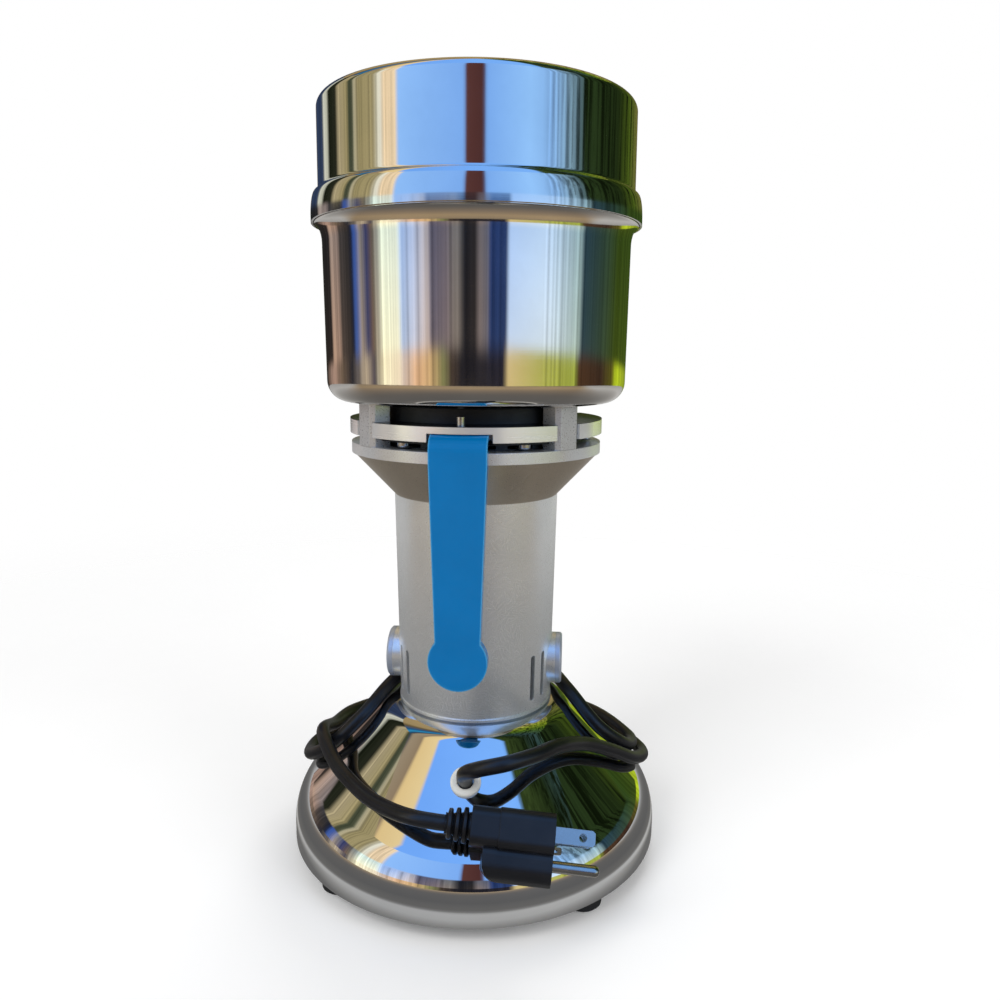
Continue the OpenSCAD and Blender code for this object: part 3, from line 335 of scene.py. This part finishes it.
FINISHES = {
    "mirror_steel": lambda n: polished_metal(n, "#E6E7E9", "#DDDFE2", (0.015, 0.03), smear=25),
    "bowl_steel": lambda n: polished_metal(n, "#E6E3DF", "#DDD9D4", (0.045, 0.075), spun=0.6),
    "lid_steel": lambda n: polished_metal(n, "#E6E6E5", "#DCDDDD", (0.04, 0.07), spun=0.3),
    "plate_steel": lambda n: satin_metal(n, "#A5A7AA", "#8F9194", (0.3, 0.45)),
    "black_rubber": lambda n: moulded(n, "#222223", "#161617", (0.6, 0.8)),
    "screw_steel": lambda n: polished_metal(n, "#CDCFD2", "#BFC1C5", (0.15, 0.28), edge=0.0003, smear=200),
    "white_nylon": lambda n: moulded(n, "#EFEFEA", "#E2E2DC", (0.3, 0.42), strength=0.12),
    "cord_rubber": lambda n: moulded(n, "#17181D", "#0D0E12", (0.28, 0.4), strength=0.15),
    "plated_pins": lambda n: polished_metal(n, "#C9C8C4", "#B5B3AE", (0.16, 0.26), edge=0.0003, smear=150),
    "cast_housing": housing_finish,
    "machined_aluminium": plate_with_painted_shade_top,
    "bearing_steel": lambda n: polished_metal(n, "#B8BABD", "#A4A6A9", (0.16, 0.26), edge=0.0002),
    "stator_laminations": laminations,
    "copper_winding": wound_copper,
    "holder_brass": lambda n: satin_metal(n, "#C0A25C", "#A98B49", (0.28, 0.4)),
    "carbon": lambda n: moulded(n, "#303031", "#1F1F20", (0.55, 0.75), grain=900),
    "spring_steel": lambda n: polished_metal(n, "#9C9EA1", "#808285", (0.2, 0.3)),
    "cap_aluminium": lambda n: satin_metal(n, "#C9D2E2", "#BBC4D4", (0.28, 0.4), edge=0.0005, metallic=0.6),
    "dark_steel": lambda n: satin_metal(n, "#3A3D41", "#2A2D30", (0.4, 0.55), metallic=0.7),
    "blue_coating": blue_paint_with_painted_edge_highlight,
    "post_aluminium": lambda n: satin_metal(n, "#DADCDE", "#CBCDCF", (0.25, 0.38), edge=0.0006, metallic=0.7),
    "black_moulding": lambda n: moulded(n, "#26272A", "#1A1B1D", (0.45, 0.6), edge=0.0006),
    "red_rocker": lambda n: moulded(n, "#BE2620", "#A41A17", (0.2, 0.3), strength=0.08, coat=0.4),
    "dial_aluminium": dial_finish,
    "commutator_copper": lambda n: satin_metal(n, "#C07A48", "#A5663A", (0.25, 0.4)),
    "fan_plastic": lambda n: moulded(n, "#313437", "#24272A", (0.5, 0.65)),
    "blade_steel": lambda n: polished_metal(n, "#C0C2C4", "#ADAFB1", (0.16, 0.28), edge=0.0003, smear=90),
    "white_silicone": lambda n: moulded(n, "#E9E7E1", "#DBD9D2", (0.45, 0.6)),
}
FINISH = {slot: make(slot) for slot, make in FINISHES.items()}

SLOTS = {part["node"]: part["material_slot"] for part in frame["record"]["subparts"]}
for node, slot in SLOTS.items():
    materials = NODES[node].data.materials
    materials.clear()
    materials.append(FINISH[slot])


# ---- turned skins ----

# sizes from the CAD source, in millimetres
BASE_H, FOOT_TOP, BASE_R, HEM_W, DOME_T = 75, 8, 93, 23, 1.2
CROWN_R, CROWN_BEND, FLANK, SHOULDER_BEND = 38.5, 15, 44, 30
WIRE_HOLE_R = 12
BOWL_Z, RIM_Z, BOWL_T, BOWL_BEND = 227.5, 311, 1.4, 10
BOWL_LOW_R, BOWL_HIGH_R, RIM_R, RIM_FLARE = 72.6, 73.6, 77.2, 9
HUB_HOLE_R = 12.1
LID_TOP, CREASE_Z, SKIRT_H, LID_T, LID_BEND = 364.9, 323.4, 13.4, 1, 4
LID_R, LIP_R, LIP_STRAIGHT, CREASE_FILLET = 75, 78.5, 3, 1.6
# steps of the free curves, and the angle from which an edge stays sharp
FLARE_STEPS, BULGE_STEPS = 14, 16
SHARP = math.radians(32)


def arc(x, z, radius, start, end, steps):
    angles = [math.radians(start + (end - start) * i / steps) for i in range(steps + 1)]
    return [(x + radius * math.cos(a), z + radius * math.sin(a)) for a in angles]


def dome_line(inset):
    slope = math.radians(FLANK)
    foot_x = BASE_R - SHOULDER_BEND + SHOULDER_BEND * math.sin(slope)
    top = (CROWN_R + CROWN_BEND * math.sin(slope), BASE_H - CROWN_BEND * (1 - math.cos(slope)))
    shoulder_z = top[1] - (foot_x - top[0]) * math.tan(slope) - SHOULDER_BEND * math.cos(slope)
    crown = arc(CROWN_R, BASE_H - CROWN_BEND, CROWN_BEND - inset, 90, 90 - FLANK, 14)
    return crown + arc(BASE_R - SHOULDER_BEND, shoulder_z, SHOULDER_BEND - inset, 90 - FLANK, 0, 24)


def dome_profile():
    hem = [(BASE_R, FOOT_TOP), (BASE_R - HEM_W, FOOT_TOP), (BASE_R - HEM_W, FOOT_TOP + DOME_T)]
    return (
        [(WIRE_HOLE_R, BASE_H)]
        + dome_line(0)
        + hem
        + [(BASE_R - DOME_T, FOOT_TOP + DOME_T)]
        + dome_line(DOME_T)[::-1]
        + [(WIRE_HOLE_R, BASE_H - DOME_T)]
    )


def bowl_profile():
    bend = (BOWL_LOW_R - BOWL_BEND, BOWL_Z + BOWL_BEND)
    grow = RIM_R - BOWL_HIGH_R
    flare = [
        (BOWL_HIGH_R + grow * (1 - math.cos(t)), RIM_Z - BOWL_T - RIM_FLARE * (1 - math.sin(t)))
        for t in (math.pi * i / (2 * FLARE_STEPS) for i in range(FLARE_STEPS + 1))
    ]
    return (
        [(HUB_HOLE_R, BOWL_Z)]
        + arc(*bend, BOWL_BEND, -90, 0, 16)
        + flare
        + [(RIM_R, RIM_Z), (BOWL_HIGH_R - BOWL_T, RIM_Z)]
        + arc(*bend, BOWL_BEND - BOWL_T, 0, -90, 16)
        + [(HUB_HOLE_R, BOWL_Z + BOWL_T)]
    )


def lid_line(inset):
    grow = LIP_R - LID_R - CREASE_FILLET - inset
    drop = SKIRT_H - LIP_STRAIGHT - inset
    bulge = [
        (LID_R + CREASE_FILLET + grow * math.sin(t), CREASE_Z - inset - drop * (1 - math.cos(t)))
        for t in (math.pi * i / (2 * BULGE_STEPS) for i in range(1, BULGE_STEPS + 1))
    ]
    return (
        [(0, LID_TOP - inset)]
        + arc(LID_R - LID_BEND, LID_TOP - LID_BEND, LID_BEND - inset, 90, 0, 12)
        + arc(LID_R + CREASE_FILLET, CREASE_Z + CREASE_FILLET, CREASE_FILLET + inset, 180, 270, 10)
        + bulge
        + [(LIP_R - inset, CREASE_Z - SKIRT_H)]
    )


def braced(profile, margin=0.3):
    """The profile with a point close to both ends of each long line, which keeps its shading flat."""
    line = []
    for (r0, z0), (r1, z1) in zip(profile, profile[1:] + profile[:1]):
        line.append((r0, z0))
        length = math.hypot(r1 - r0, z1 - z0)
        if length > 4 * margin:
            for t in (margin / length, 1 - margin / length):
                line.append((r0 + (r1 - r0) * t, z0 + (z1 - z0) * t))
    return line


def turned_skin(name, profile, node, body, segments=288):
    """The node's own outline turned more finely, so that mirror images on it run smoothly."""
    mesh = bpy.data.meshes.new(name)
    form = bmesh.new()
    rings = []
    for r, z in braced(profile):
        count = segments if r > 0 else 1
        turns = [2 * math.pi * k / count for k in range(count)]
        places = [(r * MM * math.cos(a), r * MM * math.sin(a), z * MM) for a in turns]
        rings.append([form.verts.new(place) for place in places])
    for here, after in zip(rings, rings[1:] + rings[:1]):
        for k in range(segments):
            corners = []
            for ring, i in ((here, k), (here, k + 1), (after, k + 1), (after, k)):
                corner = ring[i % len(ring)]
                if corner not in corners:
                    corners.append(corner)
            if len(corners) > 2:
                form.faces.new(corners)
    bmesh.ops.recalc_face_normals(form, faces=form.faces)
    for face in form.faces:
        face.smooth = True
    form.to_mesh(mesh)
    form.free()
    mesh.set_sharp_from_angle(angle=SHARP)
    skin = bpy.data.objects.new(name, mesh)
    bpy.context.scene.collection.objects.link(skin)
    slot = SLOTS[node]
    mesh.materials.append(FINISH[slot])
    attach(skin, body)
    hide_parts(node)


turned_skin("dome_skin", dome_profile(), "base_dome", "mill_body")
turned_skin("bowl_skin", bowl_profile(), "bowl", "mill_body")
turned_skin("lid_skin", lid_line(0) + lid_line(LID_T)[::-1], "lid_shell", "lid")


# ---- mains lead ----

# the route's points from the CAD source, in millimetres
CORD_POINTS = [
    (3.3, -63.6, 59.9), (3.8, -70, 66.5), (11, -77.5, 73), (23, -78, 76.5), (35, -69, 76.5),
    (45, -54, 74), (57, -34, 66), (70.5, -18, 55.5), (82, -3.5, 45), (88.5, 16.5, 38),
    (83, 37, 35.5), (62, 66.5, 35.5), (25, 87.5, 35.5), (-15, 90, 35.5), (-53, 74, 35.5),
    (-80, 43.5, 35.5), (-90, 17, 36), (-86.5, -9, 41), (-72, -22, 52), (-55, -19, 68.5),
    (-44.5, 0, 78.6), (-37, 26, 78.6), (-14, 43.5, 78.6), (15, 43.5, 78.6), (37, 26.5, 78.6),
    (48, 4, 77.4), (63.5, -6.5, 63), (78.5, 2, 49.5), (81, 25, 43.5), (61, 60, 42),
    (24, 82, 42), (-16, 84, 42), (-52, 67, 42.5), (-73.5, 34, 47), (-77, 6, 51.5),
    (-75.5, -21.5, 59.5), (-63, -43, 54.5), (-50.5, -57.5, 52), (-38, -71.5, 52.5), (-26, -82, 54),
    (-15.5, -88, 55), (-5, -88.5, 54),
]
CORD_DIAMETER = 0.0068
# how far each end reaches into the grommet or the plug's relief
CORD_SUNK = 3 * MM
CORD_STEPS = 8
GROMMET_AXIS = Vector((0.0364, -0.6937, 0.7193))
PLUG_AXIS = Vector((0.9921, 0.0694, -0.1045))


def smooth_route(points, steps):
    """The curve through the points, with the given number of steps between two of them."""
    line = []
    for i in range(len(points) - 1):
        a, b = points[max(i - 1, 0)], points[i]
        c, d = points[i + 1], points[min(i + 2, len(points) - 1)]
        for k in range(steps):
            t = k / steps
            squared, cubed = 2 * a - 5 * b + 4 * c - d, 3 * b - a - 3 * c + d
            line.append((2 * b + (c - a) * t + squared * t**2 + cubed * t**3) / 2)
    return line + [points[-1]]


def make_cord():
    points = [Vector(p) * MM for p in CORD_POINTS]
    exit_point = points[0]
    line = (
        [exit_point - CORD_SUNK * GROMMET_AXIS]
        + smooth_route(points, CORD_STEPS)
        + [points[-1] + CORD_SUNK * PLUG_AXIS]
    )
    curve = bpy.data.curves.new("mains_lead", "CURVE")
    curve.dimensions = "3D"
    curve.bevel_depth = CORD_DIAMETER / 2
    curve.bevel_resolution = 6
    curve.use_fill_caps = True
    spline = curve.splines.new("POLY")
    spline.points.add(len(line) - 1)
    for point, place in zip(spline.points, line):
        point.co = (*place, 1)
    cord = bpy.data.objects.new("mains_lead", curve)
    bpy.context.scene.collection.objects.link(cord)
    curve.materials.append(FINISH["cord_rubber"])
    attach(cord, "mill_body")
    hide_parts("power_cord")


make_cord()


# ---- studio ----

WHITE = (1, 1, 1, 1)
FLOOR_RADIUS, FLOOR_Z, FLOOR_SIDES = 2.25, -0.0003, 64
# metres from the axis over which the floor fades, and along Y over which the reflected floor changes
FLOOR_FADE, FLOOR_TURN = (0.22, 0.95), (-0.1, 0.3)
WORLD_LIGHT = 0.55
CARDS_RADIUS, CARDS_FOOT, CARDS_TOP, CARDS_SIDES = 2.2, -0.02, 2.0, 96
CARDS_STRENGTH = 1.35
# heights in metres over which the ground cards pass into the low ones, these into the high ones, and
# a blue haze sets in
GROUND_TO_LOW, LOW_TO_HIGH, HAZE = (0.17, 0.21), (0.64, 0.74), (0.2, 0.62)
HAZE_SHADE = (0.66, 0.8, 1, 1)
# the open sky has no streaks: above SKY_FOOT (metres) it reaches from SKY_LEFT to SKY_RIGHT, and below
# it from SKY_LOW_LEFT to SKY_RIGHT (degrees round the axis)
SKY_LEFT, SKY_LOW_LEFT, SKY_RIGHT, SKY_FOOT = (-50, -46), (26, 30), (52, 58), (0.6, 0.7)
# the leaves set in between these degrees and heights
LEAVES_LEFT, LEAVES_FOOT = (50, 84), (0.55, 0.75)


def stage_mesh(name, verts, faces):
    mesh = bpy.data.meshes.new(name)
    mesh.from_pydata(verts, [], faces)
    made = bpy.data.objects.new(name, mesh)
    bpy.context.scene.collection.objects.link(made)
    return made


def ring_points(radius, z, count):
    return [
        (radius * math.cos(2 * math.pi * i / count), radius * math.sin(2 * math.pi * i / count), z)
        for i in range(count)
    ]


def make_floor():
    """A pale disc whose rim fades into the white background. Polished metal sees it darker further out."""
    rim = ring_points(FLOOR_RADIUS, FLOOR_Z, FLOOR_SIDES)
    floor = stage_mesh("floor", rim, [tuple(range(FLOOR_SIDES))])
    s = Shader("floor_pale")
    s.set(Roughness=0.9, Specular_IOR_Level=0.1, Emission_Strength=0.1)
    s.set(Emission_Color=WHITE)
    pale = s.mixed(s.spread(s.noise(6), 0, 1), linear("#F6F6F6"), linear("#F8F8F8"))
    length = s.node("ShaderNodeVectorMath", operation="LENGTH")
    s.link(s.coords, length.inputs[0])
    radius = length.outputs["Value"]
    behind = s.spread(s.axes()["Y"], 0, 1, *FLOOR_TURN, smooth=True)
    reflected = s.mixed(behind, s.ramp(radius, FLOOR_IN_FRONT, 0, 1), s.ramp(radius, FLOOR_BEHIND, 0, 1))
    glossy = s.node("ShaderNodeLightPath").outputs["Is Glossy Ray"]
    s.drive(Base_Color=s.mixed(glossy, pale, reflected))
    fade = s.spread(radius, 0, 1, *FLOOR_FADE, smooth=True)
    seen = s.maths("SUBTRACT", 1, glossy)
    clear = s.node("ShaderNodeBsdfTransparent")
    mix = s.node("ShaderNodeMixShader")
    s.link(s.maths("MULTIPLY", fade, seen), mix.inputs[0])
    s.link(s.surface.outputs[0], mix.inputs[1])
    s.link(clear.outputs[0], mix.inputs[2])
    s.link(mix.outputs[0], s.output.inputs["Surface"])
    floor.data.materials.append(s.material)


# what polished metal sees: the floor by metres from the axis
FLOOR_BY_FOOT = [
    (0.0, "#B9B7B3"), (0.085, "#A5A29C"), (0.1, "#2E2B27"), (0.106, "#8F8C86"), (0.112, "#C9C7C3"),
    (0.118, "#4A463F"),
]
FLOOR_IN_FRONT = FLOOR_BY_FOOT + [(0.15, "#2E2A25"), (0.3, "#3A3126"), (0.6, "#6B5638"), (1.0, "#8F7548")]
FLOOR_BEHIND = FLOOR_BY_FOOT + [(0.15, "#3A3937"), (0.3, "#55534F"), (0.6, "#8B8986"), (1.0, "#B4B3B1")]
# and the cards round the studio by degrees from the front towards +X: along the ground, above it,
# at the lid's height and overhead
CARDS_GROUND = [
    (-180, "#3A3528"), (-148, "#2A2624"), (-126, "#A5897A"), (-111, "#6A5A4C"), (-96, "#26262C"),
    (-88, "#6E6660"), (-80, "#B8A890"), (-72, "#4A4450"), (-65, "#C8BEA0"), (-62, "#FFF6D0"),
    (-50, "#F2E2C4"), (-46, "#D6C2B4"), (-36, "#E0B48A"), (-26, "#C9A878"), (-17, "#7A7A50"),
    (-11, "#4A3E36"), (-4, "#1E1D22"), (26, "#26242C"), (29, "#CDB880"), (58, "#A8AC50"),
    (82, "#9CA846"), (86, "#4A3424"), (112, "#3A2A20"), (128, "#5E5A20"), (134, "#B4C82A"),
    (158, "#8A9A28"), (180, "#3A3528"),
]
CARDS_LOW = [
    (-180, "#5E6A38"), (-150, "#26221F"), (-128, "#2E2825"), (-124, "#B2947F"), (-112, "#9A8070"),
    (-108, "#4E443E"), (-97, "#38322F"), (-93, "#20222E"), (-89, "#4A68B0"), (-83, "#9A8C80"),
    (-77, "#3A3F66"), (-72, "#6E5A4C"), (-66, "#B4AE9A"), (-63, "#FFFFDC"), (-50, "#FFFEE0"),
    (-47, "#B8CEF2"), (-38, "#C6CEE4"), (-28, "#CDBDB8"), (-25, "#66606E"), (-14, "#72666A"),
    (-8, "#8A8078"), (-2, "#232226"), (6, "#35302F"), (9, "#7E726F"), (14, "#6E6A72"),
    (16, "#2A3C68"), (27, "#2A3A60"), (29, "#C4DAF8"), (58, "#D4E6F6"), (84, "#A8BEB8"),
    (88, "#2E424A"), (130, "#3C4C18"),
]
CARDS_HIGH = [
    (-180, "#94805A"), (-160, "#6E6244"), (-150, "#2C3850"), (-130, "#2C3850"), (-126, "#C4C4B4"),
    (-119, "#A0A090"), (-117, "#14180E"), (-106, "#26281E"), (-102, "#AA9C7A"), (-92, "#92865F"),
    (-90, "#454A38"), (-86, "#4A4E3C"), (-84, "#B4AA8C"), (-81, "#92865F"), (-67, "#A2956C"),
    (-61, "#CFCDBE"), (-58, "#EACFA8"), (-49, "#E0C8A4"), (-47, "#8CBAF4"), (-2, "#7AA9EA"),
    (0, "#553431"), (11, "#4A2C2A"), (13, "#78A8EA"), (42, "#90C0F6"), (57, "#84B0E4"),
    (72, "#7FA0B4"), (84, "#26361C"), (120, "#1E2A12"), (140, "#46581A"), (165, "#6E6C38"),
    (180, "#94805A"),
]
CARDS_OVERHEAD = [
    (-180, "#A08A5C"), (-120, "#94805A"), (-112, "#5E5034"), (-100, "#1B4E78"), (-94, "#2F86B0"),
    (-88, "#1A2A3E"), (-84, "#94846C"), (-73, "#8A7860"), (-70, "#D8BC84"), (-54, "#DFC690"),
    (-51, "#6EA4F0"), (53, "#78AEF4"), (57, "#3A4A24"), (80, "#1E2A14"), (96, "#2E4240"),
    (116, "#4E6A1C"), (136, "#8A9A2A"), (156, "#B09A6A"), (180, "#A08A5C"),
]


def card_finish(name):
    """Emission in upright bands under streaks, with dark leaves over the bands on the right."""
    s = Shader(name)
    z = s.height()
    around = s.azimuth()
    tables = (CARDS_GROUND, CARDS_LOW, CARDS_HIGH, CARDS_OVERHEAD)
    ground, low, high, overhead = (s.ramp(around, table, -180, 180) for table in tables)
    hazy = s.node("ShaderNodeMix", data_type="RGBA", blend_type="MULTIPLY")
    hazy.inputs["Factor"].default_value = 1.0
    s.link(low, hazy.inputs["A"])
    s.link(s.mixed(s.spread(z, 0, 1, *HAZE), WHITE, HAZE_SHADE), hazy.inputs["B"])
    bands = s.mixed(s.spread(z, 0, 1, *GROUND_TO_LOW, smooth=True), ground, hazy.outputs["Result"])
    bands = s.mixed(s.spread(z, 0, 1, *LOW_TO_HIGH, smooth=True), bands, high)
    on_top = s.spread(z, 0, 1, CARDS_TOP - 0.02, CARDS_TOP - 0.01)
    bands = s.mixed(on_top, bands, overhead)
    streaks = s.spread(s.noise(13, stretch=(1, 1, 0.02), detail=5, roughness=0.65), 0.55, 1.35)
    from_left = s.maths("MAXIMUM", on_top, s.spread(around, 0, 1, *SKY_LEFT))
    above = s.maths("MULTIPLY", from_left, s.spread(z, 0, 1, *SKY_FOOT))
    open_sky = s.maths("MAXIMUM", above, s.spread(around, 0, 1, *SKY_LOW_LEFT))
    calm = s.maths("MULTIPLY", open_sky, s.spread(around, 1, 0, *SKY_RIGHT))
    strength = s.node("ShaderNodeMix", data_type="FLOAT")
    s.link(calm, strength.inputs["Factor"])
    s.link(streaks, strength.inputs["A"])
    strength.inputs["B"].default_value = 1.0
    leafy = s.maths("MULTIPLY", s.spread(around, 0, 1, *LEAVES_LEFT), s.spread(z, 0, 1, *LEAVES_FOOT))
    leaves = s.spread(s.noise(9, stretch=(1, 1, 0.12), detail=8, roughness=0.7), 0, 1, 0.5, 0.54)
    covered = s.maths("MULTIPLY", leafy, leaves)
    emit = s.node("ShaderNodeEmission")
    s.link(s.mixed(covered, bands, linear("#0E1608")), emit.inputs["Color"])
    s.link(s.maths("MULTIPLY", strength.outputs["Result"], CARDS_STRENGTH), emit.inputs["Strength"])
    s.link(emit.outputs[0], s.output.inputs["Surface"])
    return s.material


def make_cards():
    """A closed drum of cards that only polished surfaces see."""
    count = CARDS_SIDES
    foot, top = (ring_points(CARDS_RADIUS, z, count) for z in (CARDS_FOOT, CARDS_TOP))
    faces = [(i, (i + 1) % count, count + (i + 1) % count, count + i) for i in range(count)]
    faces.append(tuple(range(count, 2 * count)))
    cards = stage_mesh("reflection_cards", foot + top, faces)
    cards.data.materials.append(card_finish("reflection_cards"))
    cards.visible_camera = False
    cards.visible_diffuse = False
    cards.visible_shadow = False
    cards.visible_transmission = False


def soft_lamp(name, place, target, size, power):
    lamp = bpy.data.lights.new(name, "AREA")
    lamp.shape = "RECTANGLE"
    lamp.size, lamp.size_y = size
    lamp.energy = power
    holder = bpy.data.objects.new(name, lamp)
    holder.location = place
    aim = Vector(target) - Vector(place)
    holder.rotation_euler = aim.to_track_quat("-Z", "Y").to_euler()
    holder.visible_glossy = False
    bpy.context.scene.collection.objects.link(holder)


def make_world():
    """White where it is seen or mirrored, and dimmer where it only lights the scene."""
    world = bpy.data.worlds.new("studio")
    bpy.context.scene.world = world
    world.use_nodes = True
    nodes, links = world.node_tree.nodes, world.node_tree.links
    nodes.clear()
    seen, lit = nodes.new("ShaderNodeBackground"), nodes.new("ShaderNodeBackground")
    for sky, strength in ((seen, 1.0), (lit, WORLD_LIGHT)):
        sky.inputs["Color"].default_value = WHITE
        sky.inputs["Strength"].default_value = strength
    path = nodes.new("ShaderNodeLightPath")
    direct = path.outputs["Is Camera Ray"]
    for ray in ("Is Glossy Ray", "Is Transmission Ray"):
        either = nodes.new("ShaderNodeMath")
        either.operation = "MAXIMUM"
        links.new(direct, either.inputs[0])
        links.new(path.outputs[ray], either.inputs[1])
        direct = either.outputs[0]
    mix = nodes.new("ShaderNodeMixShader")
    links.new(direct, mix.inputs[0])
    links.new(lit.outputs[0], mix.inputs[1])
    links.new(seen.outputs[0], mix.inputs[2])
    links.new(mix.outputs[0], nodes.new("ShaderNodeOutputWorld").inputs["Surface"])


make_floor()
make_cards()
make_world()
soft_lamp("key", (-0.9, -1.2, 1.5), (0, 0, 0.18), (1.0, 1.0), 16)
soft_lamp("fill", (1.3, -0.8, 0.9), (0, 0, 0.18), (0.9, 0.9), 7)
soft_lamp("back", (0.3, 1.3, 1.4), (0, 0, 0.2), (1.0, 0.6), 8)


# ---- camera ----

CAMERA_PLACE = (0.05095, -0.41498, 0.2521)
PITCH_DOWN = math.radians(8.44)
TURN_LEFT = math.radians(5.37)
ROLL = math.radians(0.45)
SENSOR_MM, LENS_MM, SHIFT_UP = 36, 30.2, -0.0252


def make_camera():
    data = bpy.data.cameras.new("photo_camera")
    data.sensor_width, data.lens, data.shift_y = SENSOR_MM, LENS_MM, SHIFT_UP
    data.clip_start, data.clip_end = 0.01, 20
    camera = bpy.data.objects.new("photo_camera", data)
    camera.matrix_world = (
        Matrix.Translation(CAMERA_PLACE)
        @ Matrix.Rotation(TURN_LEFT, 4, "Z")
        @ Matrix.Rotation(math.pi / 2 - PITCH_DOWN, 4, "X")
        @ Matrix.Rotation(ROLL, 4, "Z")
    )
    bpy.context.scene.collection.objects.link(camera)
    bpy.context.scene.camera = camera


make_camera()
bpy.context.scene.view_settings.view_transform = "Standard"
